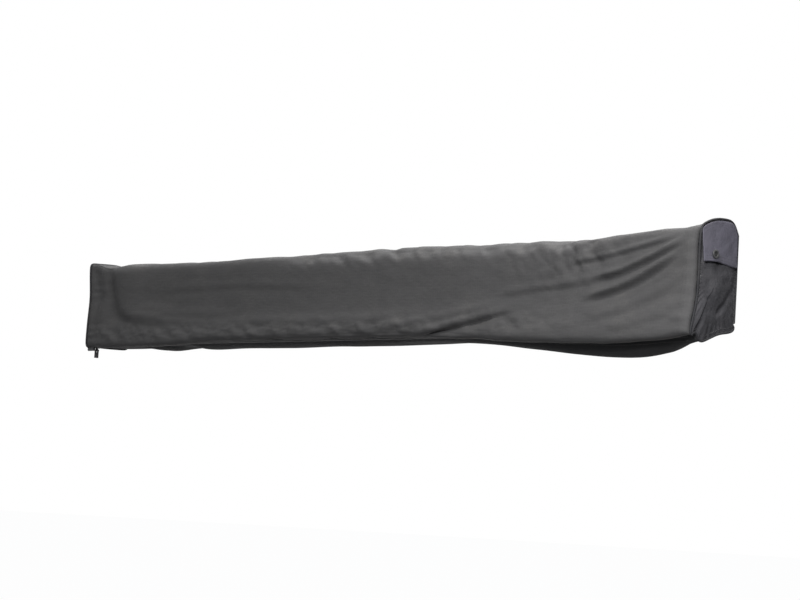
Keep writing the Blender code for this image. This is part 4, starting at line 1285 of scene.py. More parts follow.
        top = 1 - front
        crumple = ripples(along, across, 11, 22, 0.035, 0.19, 1.7)
        ridged = 1 - np.abs(ripples(along, across, 29, 14, 0.08, 0.34, 1.3))
        high_folds = 0.0018 * top * ridged * (1 + 1.2 * hill(along, 0.08, 0.22))
        edge = hill(high, 0.040, 0.016) * self.slant(along)
        wavy = 0.0026 * edge * ripples(x + 1.2 * high, high, 71, 12, 0.030, 0.11, 1.1)
        busy = hill(x, 0.52, 0.13) * ease(-0.06, 0.02, high) * front
        crushed = 0.0036 * busy * ripples(x + 0.9 * high, high - 0.3 * x, 47, 14, 0.022, 0.08, 1.2)
        draped = ripples(along + 0.6 * high, high - 0.22 * along, 5, 12, 0.10, 0.42, 2.4)
        belly = 0.0013 * front * draped * (1 - 0.4 * ease(-0.6, 0.2, along))
        near_foot = hill(high, -0.108, 0.018) * (1 - 0.6 * ease(0.30, 0.60, x))
        low = 0.0020 * front * near_foot * ripples(0.7 * x, high, 53, 16, 0.014, 0.05, 1.2)
        return total + gather + 0.0007 * crumple + high_folds + wavy + crushed + belly + low

    def surface(self, along: Array) -> tuple[Array, Array, Array]:
        """Return the folded cover as points, outward normals and metres round the section.

        Args:
            along: places along the bag, from its middle.

        Returns:
            Points, normals and metres, by place and sample.
        """
        section = self.smooth_section(along, self.around)
        moved = self.placed(along, section)
        x = moved[..., 0].copy()
        tangent = np.gradient(section, axis=1)
        out = unit(np.stack([tangent[..., 1], -tangent[..., 0]], -1))
        across = arc_lengths(moved)
        share = across / across[:, -1:]
        held = ease(0.0, 0.05, share) * (1 - ease(0.965, 1.0, share))
        ends = ease(-0.99, -0.965, along) * (1 - ease(0.965, 0.99, along))
        front = ease(0.35, 0.85, -out[..., 0])
        lift = self.folds(x, section[..., 1], across, front)
        lift *= held * (0.25 + 0.75 * ends[:, None])
        moved[..., 1:] += lift[..., None] * out
        moved[..., 0] += self.lean(x, section[..., 1])
        normal = unit(np.cross(np.gradient(moved, axis=1), np.gradient(moved, axis=0)))
        sign = np.sign((normal[..., 1:] * out).sum(-1).mean())
        return moved, normal * sign, across

    def turn_over(self, made: Obj) -> Obj:
        """Bake a piece of the hem's transform into its mesh; it is not bent over the rail.

        Args:
            made: the piece, with no body of its own.

        Returns:
            The piece.
        """
        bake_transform(made)
        return made

    def sew(self, name: str, path: Array, normal: Array | Sequence[float],
            slot: str = "bag_fabric") -> Obj:
        """Sew a row of stitches that rides on the cover."""
        return self.squeeze.dressed(stitches(name, path, normal), Finish.THREAD, slot)

    def make_cover(self) -> list[Obj]:
        """Make the cover's shell, the hem along the rail, and their stitching.

        Returns:
            The pieces.
        """
        along = -self.sewn + 2 * self.sewn * np.linspace(0.0, 1.0, self.columns)
        points, normal, across = self.surface(along)
        uv = grid(points[..., 0], across)
        split = int((points[..., 1].max(0) > self.hem_y).sum())
        hem = skin("bag_cover_hem", points[:, :split + 1], uv[:, :split + 1])
        thicken(face_towards(hem, 2, 1.0), self.cloth)
        self.turn_over(dress(hem, Finish.BAG, ""))
        cover = skin("bag_cover_shell", points[:, split:], uv[:, split:])
        thicken(face_towards(cover, 1, -1.0), self.cloth)
        self.squeeze.dressed(cover, Finish.BAG, "bag_fabric", ["bag_cover"])
        made = [cover, hem]
        lengthwise = {"groove_near": 5, "groove_far": 7, "zip_near": self.around - 5,
                      "zip_far": self.around - 8}
        for label, column in lengthwise.items():
            name, line, up = f"bag_cover_seam_{label}", points[3:-3, column], normal[3:-3, column]
            if column < split:
                row = dress(stitches(name, line, up), Finish.THREAD, "")
                made.append(self.turn_over(row))
            else:
                made.append(self.sew(name, line, up))
        crosswise = {"rear_near": 4, "rear_far": 11, "front_near": self.columns - 5,
                     "front_far": self.columns - 7}
        for label, row in crosswise.items():
            made.append(self.sew(f"bag_cover_seam_{label}", points[row, split + 1:-6],
                                 normal[row, split + 1:-6]))
        return made

    def floor_section(self, along: Array, samples: int) -> Array:
        """Return the floor's section as (places, samples, YZ), from the zip to the rail's back.

        Args:
            along: places along the bag, from its middle.
            samples: points round each section.

        Returns:
            The sections.
        """
        belly = self.belly(along)
        end = ease(0.86, 0.985, along)
        start = self.zip_y + self.zip_half
        low = self.bottom - 0.0020
        back = self.back_y - 0.0050
        seat = self.rail_bottom - 0.0028
        lift = 0.013 * end
        deep = 0.30 * belly * (1 - 0.8 * end)
        last = ease(0.90, 0.985, along)
        rows = [
            (start + 0.0004, self.bottom - 0.0002),
            (start + 0.0026, self.bottom - 0.0008 - 0.10 * belly),
            (start + 0.0058, low - (0.42 + 0.10 * last) * belly),
            (start + 0.0105, low - (0.78 - 0.08 * last) * belly),
            (start + 0.0190, low - (1.05 - 0.33 * last) * belly),
            (start + 0.0320, low - (1.12 - 0.62 * last) * belly + 0.002 * end),
            (start + 0.0480, low - (0.92 - 0.72 * last) * belly + 0.004 * end),
            (start + 0.0640, low - (0.62 - 0.60 * last) * belly + 0.007 * end),
            (back - 0.0140 + 0.004 * last, low - deep + 0.8 * lift),
            (back - 0.0035 + 0.006 * last, low + 0.0008 - 0.6 * deep + lift),
            (back + 0.006 * last, low + 0.0080 - 0.2 * deep + lift),
            (back + 0.0004, seat - 0.0040),
            (back - 0.0002, seat),
            (back + 0.0016, seat + 0.0003),
            (self.back_y, seat + 0.0004),
        ]
        return section_curves(rows, along, samples)

    def make_floor(self) -> list[Obj]:
        """Make the fixed floor under the folded arms, sewn to the zip and held by the rail.

        Returns:
            The pieces.
        """
        along = np.linspace(-self.floor_half, self.floor_half, 360)
        points = self.placed(along, self.floor_section(along, 60))
        x, across = points[..., 0], arc_lengths(points)
        share = across / across[:, -1:]
        loose = ease(0.06, 0.25, share) * (1 - ease(0.62, 0.78, share))
        wave = ripples(x, across, 41, 18, 0.05, 0.30, 1.8) * 0.0020
        points[..., 2] += wave * loose
        floor = skin("bag_floor_sheet", points, grid(x, across))
        thicken(face_towards(floor, 2, -1.0), self.cloth)
        # The floor's finish carries painted shade: its colour is darkened for the bag's underside.
        dress(floor, Finish.BAG_INSIDE, "rail", ["bag_floor"])
        made = [floor]
        for label, column in (("near", 3), ("far", 6)):
            row = stitches(f"bag_floor_seam_{label}", points[3:-3, column], (0, -0.2, -1))
            made.append(dress(row, Finish.THREAD, "rail"))
        return made

    def end_outline(self, along: float, count: int) -> Array:
        """Return a closed outline (count, YZ) at one end: cover, zip, floor and back edge.

        Args:
            along: the end's place.
            count: points wanted.

        Returns:
            The outline.
        """
        place = np.array([along])
        floor = self.floor_section(place, 30)[0]
        top = np.array([[self.back_y, self.rail_top + 0.0024]])
        corner = np.array([[self.back_y, floor[-1, 1]]])
        loop = np.concatenate([top, self.smooth_section(place, 70)[0], floor, corner, top])
        flat = np.concatenate([np.zeros((len(loop), 1)), loop], 1)
        run = arc_lengths(flat)
        return read_along(np.linspace(0.0, run[-1], count + 1), run, flat)[:-1, 1:]

    def make_end(self, side: str) -> list[Obj]:
        """Make one end cap: a stiffened panel with piping round it, a top flap and an eyelet.

        The panel is the outline drawn in to its middle ring by ring, bulged by 1 - r^2.2.

        Args:
            side: front or rear.

        Returns:
            The pieces.
        """
        sign = 1.0 if side == "front" else -1.0
        outline = self.end_outline(self.half * sign, self.end_points)
        raised = self.end_raise if side == "front" else 0.0
        middle = np.array(self.end_middle)
        ring = np.linspace(1.0, 0.02, 40)[:, None]
        flat = middle + (outline[None] - middle) * ring[..., None]
        flat[..., 1] += raised * ease(0.02, 0.06, flat[..., 1])
        y, z = flat[..., 0], flat[..., 1]
        bulge = self.end_bulge * (1 - ring**2.2) + 0.0015
        angle = np.arctan2(z - middle[1], y - middle[0])
        pucker = (0.0008 * np.sin(angle * 46) * ease(0.55, 0.97, ring)
                  * (1 - ease(0.97, 1.0, ring)))
        slack = 0.0024 * ripples(y * 1.2, z, 61, 14, 0.03, 0.11, 1.0) * (1 - ease(0.8, 1.0, ring))
        vee = np.abs(y + 0.103) * 1.15 - (z + 0.098)
        tuck = -0.0060 * hill(vee, 0.0, 0.0095) * hill(z, -0.070, 0.034) * hill(y, -0.103, 0.034)
        under = 0.0045 * ease(self.flap_low - 0.004, self.flap_low + 0.010, z) * (ring < 0.97)
        x = self.middle + sign * (self.cap_plane + bulge + pucker + slack + tuck - under)
        points = grid(x + self.lean(x, z), y, z)
        panel = self.capped(f"bag_end_{side}_panel", points, flat, sign)
        thicken(panel, self.cloth)
        self.squeeze.dressed(panel, Finish.END, "end_fabric", [f"bag_end_{side}"])
        rim_x = np.full((self.end_points, 1), self.middle + sign * self.welt_plane)
        rim = np.concatenate([rim_x, outline], 1)
        rim[:, 2] += raised * ease(0.02, 0.06, rim[:, 2])
        rim[:, 1:] += unit(rim[:, 1:] - middle) * 0.0006
        rim[:, 0] += self.lean(rim[:, 0], rim[:, 2])
        welt = tube(f"bag_end_{side}_piping", rim, self.welt_radius, 10, (sign, 0, 0), closed=True)
        made = [panel, self.squeeze.dressed(welt, Finish.PIPING, "end_fabric")]
        inner = points[3].copy()
        inner[:, 0] += sign * 0.0002
        made.append(self.sew(f"bag_end_{side}_seam", np.concatenate([inner, inner[:1]]),
                             (sign, 0, 0), "end_fabric"))
        return made + self.make_flap(side, sign, outline, middle, raised)

    def capped(self, name: str, points: Array, uv: Array, sign: float) -> Obj:
        """Skin drawn-in rings and close the smallest with a fan, facing away from the bag.

        Args:
            name: the piece's name.
            points: the rings, the outer one first.
            uv: metres for each point.
            sign: 1 at the front, -1 at the rear.

        Returns:
            The panel.
        """
        count, around = points.shape[:2]
        end = count * around
        faces = [grid_faces(count, around, Lay.ROUND), fan(around, end - around, end)]
        every = np.concatenate([points.reshape(-1, 3), points[-1:].mean(1)])
        flat = np.concatenate([uv.reshape(-1, 2), uv[-1:].mean(1)])
        return face_towards(mesh_object(name, every, np.concatenate(faces), flat), 0, sign)

    def make_flap(self, side: str, sign: float, outline: Array, middle: Array,
                  raised: float) -> list[Obj]:
        """Make the smooth flap over the end's top third, its hem and its black eyelet.

        Args:
            side: front or rear.
            sign: 1 at the front, -1 at the rear.
            outline: the end cap's outline (n, YZ).
            middle: its middle (YZ).
            raised: how far the cap's top is drawn up.

        Returns:
            The flap, its stitching, the eyelet and the dark disc in it.
        """
        low = self.flap_low
        rows, columns = 26, 44
        top = outline[outline[:, 1] > low - 0.02]
        left, right = top[:, 0].min(), top[:, 0].max()
        across = np.linspace(left + 0.0035, right - 0.002, columns)
        roof = top[np.argsort(top[:, 0])]
        roof = roof[roof[:, 1] > 0.036]
        upper = np.interp(across, roof[:, 0], roof[:, 1]) + raised - 0.0028
        t = np.linspace(0.0, 1.0, rows)[:, None]
        hem = low + 0.0025 * np.sin((across - left) * 55)
        y, z = np.broadcast_arrays(across, upper * (1 - t) + hem * t)
        near = np.hypot((y - middle[0]) / 0.062, (z - middle[1]) / 0.1)
        bulge = self.end_bulge * (1 - np.clip(near, 0, 1) ** 2.2) + 0.0038
        wave = 0.0011 * ripples(y, z, 83, 12, 0.02, 0.09, 1.0)
        x = self.middle + sign * (self.cap_plane + bulge + wave + 0.0018 * ease(0.7, 1.0, t))
        points = grid(x + self.lean(x, z), y, z)
        flap = face_towards(skin(f"bag_end_{side}_flap", points, grid(y, z)), 0, sign)
        self.squeeze.dressed(thicken(flap, self.thin_cloth), Finish.FLAP, "end_fabric")
        made = [flap]
        for label, row in (("near", rows - 3), ("far", rows - 5)):
            made.append(self.sew(f"bag_end_{side}_flap_seam_{label}", points[row, 2:-2],
                                 (sign, 0, 0), "end_fabric"))
        lift = self.middle + sign * (self.cap_plane + 0.0150)
        ring = circle(*self.eyelet_middle, self.eyelet_radius, 40)
        line = np.concatenate([np.full((40, 1), lift), ring], 1)
        eyelet = tube(f"bag_end_{side}_eyelet", line, self.eyelet_wire, 10, (sign, 0, 0),
                      closed=True)
        made.append(self.squeeze.dressed(eyelet, Finish.PLASTIC, "end_fabric"))
        hole = circle(*self.eyelet_middle, self.eyelet_hole, 24)
        plug = slab(f"bag_end_{side}_vent", hole, 0, lift - 0.002, lift - 0.0004, 0.0006)
        made.append(self.squeeze.dressed(plug, Finish.RUBBER, "end_fabric"))
        return made

    def make_back(self, side: str, start: float, stop: float) -> list[Obj]:
        """Make the gusset that closes the bag's back between the rail's end and an end cap.

        The cloth stands out by 1 - u^2 over its width and falls slack by its ripples.

        Args:
            side: front or rear.
            start: X of the edge that lies on the rail.
            stop: X of the edge at the end cap.

        Returns:
            The gusset and its seam.
        """
        x = np.linspace(start, stop, 48)[:, None]
        t = np.linspace(0.0, 1.0, 80)[None]
        low = self.rail_bottom - 0.0022
        high = self.rail_top + 0.0034 + 0.012 * self.climb(x - self.middle)
        z = low + (high - low) * t
        over = (x - min(start, stop)) / abs(stop - start)
        within = np.clip(np.sin(math.pi * t), 0, 1)
        bow = 0.0036 * (1 - (2 * over - 1) ** 2) * within**0.5
        slack = 0.0034 * ripples(1.6 * x, z, 97, 14, 0.03, 0.11, 1.0) * within**0.6
        y = self.back_y + 0.0016 + bow + slack * np.sin(math.pi * over) ** 0.6
        y = y + (self.keder_y + 0.0006 - y) * ease(0.93, 1.0, t)
        points = grid(x, y, z)
        made = face_towards(skin(f"bag_back_{side}_gusset", points, points[..., [0, 2]]), 1, 1.0)
        dress(thicken(made, self.thin_cloth), Finish.BAG, "rail")
        seam = stitches(f"bag_back_{side}_seam", points[3, 3:-3], (0, 1, 0))
        dress(seam, Finish.THREAD, "rail")
        if side == "rear":
            self.squeeze.apply(made, self.rail_bottom)
            self.squeeze.apply(seam, self.rail_bottom)
        return [made, seam]

    def make_bead(self) -> list[Obj]:
        """Make the keder bead in the rail's groove with the neck of cloth above it.

        Returns:
            The bead and the neck.
        """
        x = np.linspace(self.rail_rear + 0.001, self.rail_end - 0.001, 160)
        path = grid(x, self.keder_y, self.keder_z)
        bead = tube("cover_keder_bead", path, self.bead_radius, 12, (0, 0, 1))
        dress(bead, Finish.PIPING, "cover", ["cover_keder"])
        t = np.linspace(0.0, 1.0, 8)[None]
        high = self.keder_z + 0.0024 + (self.rail_top + 0.0022 - self.keder_z - 0.0024) * t
        points = grid(x[:, None], self.keder_y, high)
        neck = skin("cover_keder_neck", points, points[..., [0, 2]])
        thicken(neck, 0.0012, inward=False)
        dress(neck, Finish.BAG, "rail")
        return [bead, neck]

    def build(self) -> list[Obj]:
        """Build the whole bag.

        Returns:
            The pieces.
        """
        made = self.make_cover() + self.make_floor() + self.make_bead()
        made += self.make_back("rear", self.rail_rear + 0.012, self.rear + 0.004)
        made += self.make_back("front", self.rail_end - 0.006, self.front - 0.0068)
        for side in ("front", "rear"):
            made += self.make_end(side)
        return made


# A tooth's layers: place along it, width and height as shares; and a layer's corners
TOOTH_LAYERS = ((-0.45, 0.55, 0.62), (-0.25, 0.80, 1.0), (0.05, 0.42, 0.9), (0.5, 0.7, 0.7))
TOOTH_CORNERS = ((-0.5, -1), (0.5, -1), (0.5, 1), (-0.5, 1))


@dataclass
class ZipFastener:
    """The zip under the bag's lower front edge: two tapes and two rows of teeth."""

    start: float = -1.157
    stop: float = 0.817
    y: float = -0.1535
    z: float = -0.133
    pitch: float = 0.0032
    tape_width: float = 0.013
    squeeze: Squeeze = Squeeze()

    def tape(self, side: float, name: str) -> Obj:
        """Make one tape, a flat strip beside the teeth: x along, y across.

        Args:
            side: 1 to the vehicle, -1 away from it.
            name: the piece's name.

        Returns:
            The tape.
        """
        x = np.linspace(self.start + 0.001, self.stop - 0.001, 120)[:, None]
        y = self.y + side * np.linspace(0.0006, self.tape_width, 7)[None]
        z = self.z + 0.0022 + 0.0004 * np.sin(x * 40) * np.linspace(0, 1, 7)[None]
        points = grid(x, y, z)
        made = skin(name, points, points[..., :2])
        return thicken(made, 0.0008, inward=False)

    def teeth(self, side: float, name: str) -> Obj:
        """Make one row of teeth: waisted blocks, every second gap filled by the other row's.

        Args:
            side: 1 to the vehicle, -1 away from it.
            name: the piece's name.

        Returns:
            The row.
        """
        count = int((self.stop - self.start - 0.006) / self.pitch)
        shift = 0.25 if side > 0 else 0.75
        x = self.start + 0.003 + (np.arange(count) + shift) * self.pitch
        places = grid(x, self.y + side * 0.0011, self.z)
        axes = np.broadcast_to(np.diag([0.00125, side * 0.0040, 0.0028]), (count, 3, 3))
        shape = np.array([[across * wide, along, up * tall * 0.5]
                          for along, wide, tall in TOOTH_LAYERS for across, up in TOOTH_CORNERS])
        faces = np.concatenate([[[0, 3, 2, 1], [12, 13, 14, 15]], grid_faces(4, 4, Lay.ROUND)])
        return copies(name, shape, faces, places, axes)

    def make_tab(self) -> Obj:
        """Make the black end tab, a strip of webbing folded over: down, round and up again.

        Returns:
            The tab.
        """
        turn = np.linspace(0.0, math.pi, 13)
        down, again = np.linspace(-0.1310, -0.1440, 8), np.linspace(-0.1440, -0.1325, 8)
        y = np.concatenate([0 * down - 0.1676, -0.1655 - 0.0021 * np.cos(turn), 0 * again - 0.1634])
        z = np.concatenate([down, -0.1447 - 0.0021 * np.sin(turn), again])
        x = np.linspace(-1.1645, -1.1395, 13)[None]
        uv = grid(arc_lengths(grid(0.0, y, z))[:, None], x)
        tab = skin("zip_end_tab", grid(x, y[:, None], z[:, None]), uv)
        return thicken(tab, 0.0013, inward=False)

    def build(self) -> list[Obj]:
        """Build tapes and teeth; the floor's side stays, the cover's side goes with the cover.

        Returns:
            The pieces.
        """
        made = [self.squeeze.dressed(self.make_tab(), Finish.TAPE, "webbing")]
        tape = dress(self.tape(1.0, "zip_tape_floor"), Finish.TAPE, "rail")
        row = dress(self.teeth(1.0, "zip_teeth_floor"), Finish.ZIP, "rail",
                    ["zip_chain"])
        made += [tape, row]
        for piece, finish in ((self.tape(-1.0, "zip_tape_cover"), Finish.TAPE),
                              (self.teeth(-1.0, "zip_teeth_cover"), Finish.ZIP)):
            made.append(self.squeeze.dressed(piece, finish, "webbing"))
        return made


# What the bag holds


@dataclass
class Rig:
    """Where the arms, legs and canopy lie, shared by the classes that dress them."""

    pin_x: float = -1.115
    first_lane: float = -0.087
    pitch: float = 0.022
    arm_half: float = 0.009
    arm_top: float = 0.028
    tube_start: float = -1.033
    tube_end: float = 0.755
    leg_z: float = -0.0255
    rail_front: float = -0.074
    groove_z: float = 0.0402

    def lane(self, number: int) -> float:
        """Return the Y of an arm's centre line."""
        return self.first_lane - (number - 1) * self.pitch


@dataclass
class Canopy:
    """One folded panel of canopy between two arms."""

    number: int
    rig: Rig
    fan: float = 67.5
    drop_hub: float = 0.028
    drop_tip: float = 0.098
    near_edge: float = 0.0127
    far_edge: float = 0.0093
    hub_gap: float = 0.100
    hem_width: float = 0.030
    rows: int = 110
    columns: int = 41

    def radius(self, share: Array) -> Array:
        """Return the outer hem's radius, R cos(f/2) / cos(f (w - 1/2)), a straight chord.

        Args:
            share: share w of the way from arm to arm.

        Returns:
            Radii from the pivot.
        """
        full = self.rig.tube_end - 0.004 - self.rig.pin_x
        half = math.radians(self.fan) / 2
        return full * math.cos(half) / np.cos(2 * half * (share - 0.5))

    def sheet(self, inset: float = 0.0) -> tuple[Array, Array]:
        """Work out the fold: across it w runs 0 to 1, and it hangs by 4 w (1 - w).

        The place across the gap is the smooth step's inverse, 1/2 - sin(asin(1 - 2w) / 3).

        Args:
            inset: how far the outer edge is drawn back, for a hem's inner line.

        Returns:
            Points (rows, columns, 3) and metres along and across.
        """
        rig, lane = self.rig, self.rig.lane(self.number)
        share = np.linspace(0.0, 1.0, self.columns)[None]
        place = 0.5 - np.sin(np.arcsin(np.clip(1 - 2 * share, -1, 1)) / 3)
        start, stop = lane + self.near_edge, lane + self.far_edge
        y = start + (stop - start) * place
        run = np.linspace(0.0, 1.0, self.rows)[:, None]
        reach = self.hub_gap + (self.radius(share) - inset - self.hub_gap) * run
        x = rig.pin_x + reach
        drop = self.drop_hub + (self.drop_tip - self.drop_hub) * run
        top = rig.arm_top + 0.0009
        z = top - 0.0022 - drop * (4 * share * (1 - share)) ** 0.85
        wave = 0.0016 * ripples(x, share * 0.3, 100 + self.number, 10, 0.12, 0.5, 1.0)
        return self.with_edges(grid(x, y, z + wave * 4 * share * (1 - share)), top)

    def with_edges(self, points: Array, top: float) -> tuple[Array, Array]:
        """Add the strips that lie on the arms to both sides of the fold.

        Args:
            points: the fold's points.
            top: height of the arms' top face.

        Returns:
            Points and metres along and across.
        """
        rig, lane = self.rig, self.rig.lane(self.number)
        steps = np.array([0.0, 0.35, 0.7, 1.0])
        far = grid(points[:, -1:, 0], lane + 0.0088 - (0.0088 - 0.0004) * steps, top)
        y, z = lane + rig.pitch - 0.0004 - (rig.pitch - 0.0004 - 0.0132) * steps, top
        if self.number == 1:
            y, z = rig.rail_front - 0.0006, rig.groove_z - (rig.groove_z - top) * steps
        every = np.concatenate([grid(points[:, :1, 0], y, z), points, far], 1)
        return every, grid(every[..., 0], arc_lengths(every))

    def build(self) -> list[Obj]:
        """Build the panel, its outer hem tape and the hem's stitching.

        Returns:
            The pieces.
        """
        number, rig = self.number, self.rig
        start = (0.0, rig.lane(number) + self.near_edge, 0.0)
        stop = (0.0, rig.lane(number) + self.far_edge, 0.0)
        points, uv = self.sheet()
        panel = skin(f"canopy_{number}_panel", points, uv)
        thicken(panel, 0.0004, inward=False)
        dress(panel, Finish.CANOPY, "", [f"canopy_{number}"])
        inner, _ = self.sheet(self.hem_width)
        t = np.linspace(-0.02, 1.0, 5)[:, None, None]
        band = inner[-1][None] * (1 - t) + points[-1][None] * t
        band[..., 2] += 0.0003
        hem = skin(f"canopy_{number}_hem", band, grid(arc_lengths(band), band[..., 0]))
        thicken(hem, 0.0005, inward=False)
        dress(hem, Finish.TAPE, "")
        row = stitches(f"canopy_{number}_seam", band[1], (0.0, 0.0, 1.0))
        dress(row, Finish.PALE_THREAD, "")
        for piece in (panel, hem, row):
            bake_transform(piece)
        return [panel, hem, row]


@dataclass
class TieStrap:
    """A webbing strap round the folded arms, fixed to the rail, with a cam buckle on top."""

    name: str
    along: float
    rig: Rig
    width: float = 0.025
    thickness: float = 0.0013
    top: float = 0.0302

    def path(self) -> Array:
        """Return the strap's line in YZ: over the arms, down the front and back under them.

        Returns:
            Points (120, 3).
        """
        rig = self.rig
        share = (self.along + self.width / 2 - rig.tube_start) / (rig.tube_end - rig.tube_start)
        bottom = min(0.026 - 0.030 - 0.070 * share, rig.leg_z - 0.009) - 0.0012
        out = rig.lane(4) - rig.arm_half - 0.0010
        back = rig.rail_front - 0.0010
        corners = np.array([
            (back, 0.0340), (back - 0.0006, 0.0312), (back - 0.004, 0.0300), (back - 0.02, 0.0299),
            (-0.12, 0.0301), (out + 0.008, 0.0300), (out + 0.002, 0.0295), (out, 0.0265),
            (out - 0.0004, 0.010), (out, -0.015), (out - 0.0002, bottom + 0.008),
            (out + 0.001, bottom + 0.001), (out + 0.006, bottom), (-0.12, bottom - 0.0008),
            (back - 0.010, bottom), (back - 0.002, bottom + 0.001), (back, bottom + 0.004),
            (back, bottom + 0.012)])
        line = spline_weights(len(corners), 120) @ corners
        return np.concatenate([np.full((120, 1), self.along), line], 1)

    def plastic(self, made: Obj, sharp: float | None = None) -> Obj:
        """Dress a piece of the buckle."""
        return dress(made, Finish.PLASTIC, "rail", sharp=sharp)

    def build(self) -> list[Obj]:
        """Build the strap, its buckle, the buckle's lever and the lever's ribs.

        Returns:
            The pieces.
        """
        path = self.path()
        side = np.linspace(-0.5, 0.5, 9)
        points = path[:, None] + side[None, :, None] * np.array([self.width, 0.0, 0.0])
        uv = grid(arc_lengths(path)[:, None], (side + 0.5) * self.width)
        band = thicken(skin(f"{self.name}_band", points, uv), self.thickness, inward=False)
        made = [dress(band, Finish.TAPE, "rail", [self.name])]
        outline = round_outline(self.along, -0.135, 0.0165, 0.0135, 0.0025)
        made.append(self.plastic(slab(f"{self.name}_buckle", outline, 2, self.top + 0.0006,
                                      self.top + 0.0042, 0.0011), sharp=40))
        outline = round_outline(self.along, -0.131, 0.0118, 0.0080, 0.0025)
        made.append(self.plastic(slab(f"{self.name}_buckle_lever", outline, 2, self.top + 0.0040,
                                      self.top + 0.0068, 0.0012), sharp=40))
        for row in range(3):
            line = grid(np.linspace(self.along - 0.009, self.along + 0.009, 12),
                        -0.1265 - 0.004 * row, self.top + 0.0068)
            rib = tube(f"{self.name}_buckle_rib_{row + 1}", line, 0.0007, 8, (0, 0, 1))
            made.append(self.plastic(rib))
        for piece in made:
            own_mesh(piece)
        return made


# The first word that a CAD node's name holds tells its finish
NODE_FINISHES = {
    "back_rail": Finish.RAIL, "t_bolt": Finish.ZINC, "pivot": Finish.ZINC,
    "hub_bolt": Finish.ZINC, "_pin": Finish.ZINC, "hub": Finish.CASTING,
    "bracket": Finish.BLACK_STEEL, "knuckle": Finish.CASTING, "_tip": Finish.CASTING,
    "_tube": Finish.ARM, "_outer": Finish.ARM, "_inner": Finish.INNER_LEG,
    "_clamp": Finish.PLASTIC, "_foot": Finish.RUBBER, "slider": Finish.BLACK_STEEL,
}


@dataclass
class Hardware:
    """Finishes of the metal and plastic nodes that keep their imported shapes."""

    def finish_of(self, name: str) -> Finish:
        """Choose a node's finish by the first word that its name holds, plastic if by none."""
        return next((finish for part, finish in NODE_FINISHES.items() if part in name),
                    Finish.PLASTIC)

    def build(self) -> None:
        """Dress every CAD node that still shows."""
        for name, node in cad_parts.items():
            if node.hide_render:
                continue
            node.data.materials.clear()
            node.data.materials.append(self.finish_of(name).get())


# Studio


WHITE = (1.0, 1.0, 1.0, 1.0)
FLOOR_SIDES = 96
FLOOR_RADII = (0.02, 1.0, 3.0, 8.0, 20.0, 60.0)


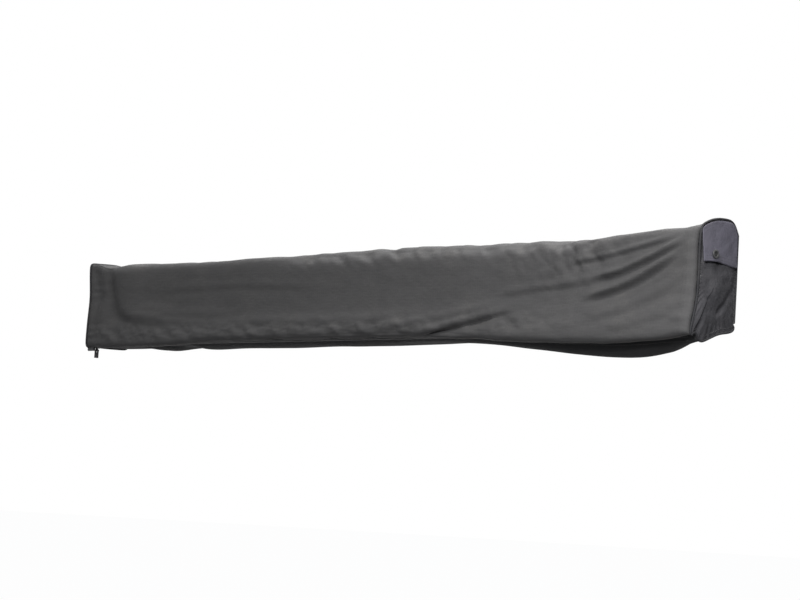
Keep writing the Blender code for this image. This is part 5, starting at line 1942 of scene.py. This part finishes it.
@dataclass
class Studio:
    """Floor, light and the camera at the photograph's viewing angle."""

    ground: float = -1.7255
    eye: tuple[float, float, float] = (3.433, -3.035, -0.442)
    photo_right: tuple[float, float, float] = (0.8286, 0.5589, 0.0337)
    aim: tuple[float, float, float] = (-0.02, -0.135, -0.050)
    lens: float = 98.0
    glow: float = 0.94

    def hang(self, name: str, data: bpy.types.ID, place: Sequence[float], turn: Matrix) -> Obj:
        """Link a camera or light at a place, turned by a matrix.

        Args:
            name: the object's name.
            data: the camera or light.
            place: where it hangs.
            turn: its turn (3, 3).

        Returns:
            The object.
        """
        made = bpy.data.objects.new(name, data)
        bpy.context.collection.objects.link(made)
        made.matrix_world = Matrix.Translation(place) @ turn.to_4x4()
        return made

    def make_camera(self) -> None:
        """Put the camera at the photograph's place, turned to the awning, level as it was."""
        data = bpy.data.cameras.new("camera")
        data.lens = self.lens
        data.sensor_width = 36.0
        data.clip_end = 200.0
        forward = (Vector(self.aim) - Vector(self.eye)).normalized()
        right = Vector(self.photo_right)
        right = (right - forward * right.dot(forward)).normalized()
        up = right.cross(forward)
        turn = Matrix((right, up, -forward)).transposed()
        bpy.context.scene.camera = self.hang("camera", data, self.eye, turn)

    def make_world(self) -> None:
        """Light softly from all round, and show white to the camera and in reflections."""
        world = bpy.data.worlds.new("studio")
        world.use_nodes = True
        bpy.context.scene.world = world
        wires = Wires(world.node_tree)
        world.node_tree.nodes.clear()
        path = wires.node("ShaderNodeLightPath").outputs
        seen = wires.math("MAXIMUM", path["Is Camera Ray"], wires.math(
            "MAXIMUM", path["Is Glossy Ray"], path["Is Transmission Ray"]))
        soft = wires.fed("ShaderNodeBackground", {"Color": (0.93, 0.96, 1.0, 1.0),
                                                  "Strength": 0.33}).outputs[0]
        white = wires.fed("ShaderNodeBackground", {"Color": WHITE, "Strength": 1.0}).outputs[0]
        mix = wires.fed("ShaderNodeMixShader", {"Fac": seen, 1: soft, 2: white})
        wires.fed("ShaderNodeOutputWorld", {"Surface": mix.outputs[0]})

    def make_floor(self) -> None:
        """Lay a pale floor that shows nearly white and keeps the awning's soft shadow."""
        rings = np.array([circle(0.0, 0.0, radius, FLOOR_SIDES) for radius in FLOOR_RADII])
        end = rings.shape[0] * FLOOR_SIDES
        points = grid(rings[..., 0], rings[..., 1], self.ground).reshape(-1, 3)
        floor = mesh_object(
            "studio_floor", np.concatenate([points, [[0, 0, self.ground]]]),
            np.concatenate([grid_faces(len(FLOOR_RADII), FLOOR_SIDES, Lay.ROUND)[:, ::-1],
                            fan(FLOOR_SIDES, 0, end)]))
        paint = bpy.data.materials.new("studio_floor_paint")
        paint.use_nodes = True
        wires = Wires(paint.node_tree)
        shader = wires.tree.nodes["Principled BSDF"]
        for label, value in (("Base Color", (0.14, 0.14, 0.14, 1.0)), ("Roughness", 0.95),
                             ("Specular IOR Level", 0.0)):
            shader.inputs[label].default_value = value
        path = wires.node("ShaderNodeLightPath").outputs
        shown = wires.math("MAXIMUM", path["Is Camera Ray"], path["Is Glossy Ray"])
        glow = wires.fed("ShaderNodeEmission", {"Color": WHITE,
                                                "Strength": wires.times(shown, self.glow)})
        both = wires.fed("ShaderNodeAddShader", {0: shader.outputs[0], 1: glow.outputs[0]})
        behind = wires.node("ShaderNodeNewGeometry").outputs["Backfacing"]
        from_below = wires.fed("ShaderNodeMixShader", {
            "Fac": wires.times(path["Is Camera Ray"], behind), 1: both.outputs[0],
            2: wires.node("ShaderNodeBsdfTransparent").outputs[0]})
        out = next(node for node in wires.tree.nodes if node.type == "OUTPUT_MATERIAL")
        wires.feed(out.inputs["Surface"], from_below.outputs[0])
        floor.data.materials.append(paint)

    def lamp(self, name: str, place: Sequence[float], size: float, power: float,
             colour: Sequence[float] = (1.0, 1.0, 1.0)) -> None:
        """Hang a square soft box that looks at the awning's middle.

        Args:
            name: the lamp's name.
            place: where it hangs.
            size: its side's length.
            power: its power in watts.
            colour: its light's colour.
        """
        data = bpy.data.lights.new(name, "AREA")
        data.shape = "SQUARE"
        data.size = size
        data.energy = power
        data.color = tuple(colour)
        away = Vector(place) - Vector((self.aim[0], self.aim[1], 0.0))
        self.hang(name, data, place, away.to_track_quat("Z", "Y").to_matrix())

    def build(self) -> None:
        """Set up the studio."""
        scene = bpy.context.scene
        scene.view_settings.view_transform = "Standard"
        self.make_world()
        self.make_floor()
        self.lamp("key_light", (1.8, -2.0, 2.9), 1.2, 90.0, (1.0, 0.985, 0.96))
        self.lamp("side_light", (1.7, -1.5, 0.6), 0.7, 32.0, (0.99, 0.99, 1.0))
        self.lamp("top_light", (-0.4, 0.9, 3.0), 2.4, 165.0)
        self.make_camera()


def corners(box: tuple[Vector, Vector]) -> list[list[float]]:
    """Return a box's two corners as plain lists."""
    return [[float(part) for part in corner] for corner in box]


def main() -> None:
    """Build the studio and every sub-assembly."""
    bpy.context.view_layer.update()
    rig = Rig()
    Studio().build()
    LOG.info("studio ready")
    pieces = TravelBag().build()
    LOG.info("travel bag: %d pieces", len(pieces))
    pieces += ZipFastener().build()
    for number in range(1, 5):
        pieces += Canopy(number, rig).build()
    for name, along in (("strap_rear", -0.79), ("strap_front", 0.07)):
        pieces += TieStrap(name, along, rig).build()
    Hardware().build()
    for piece in pieces:
        LOG.info("%s: %d faces", piece.name, len(piece.data.polygons))


if __name__ == "__main__":
    main()
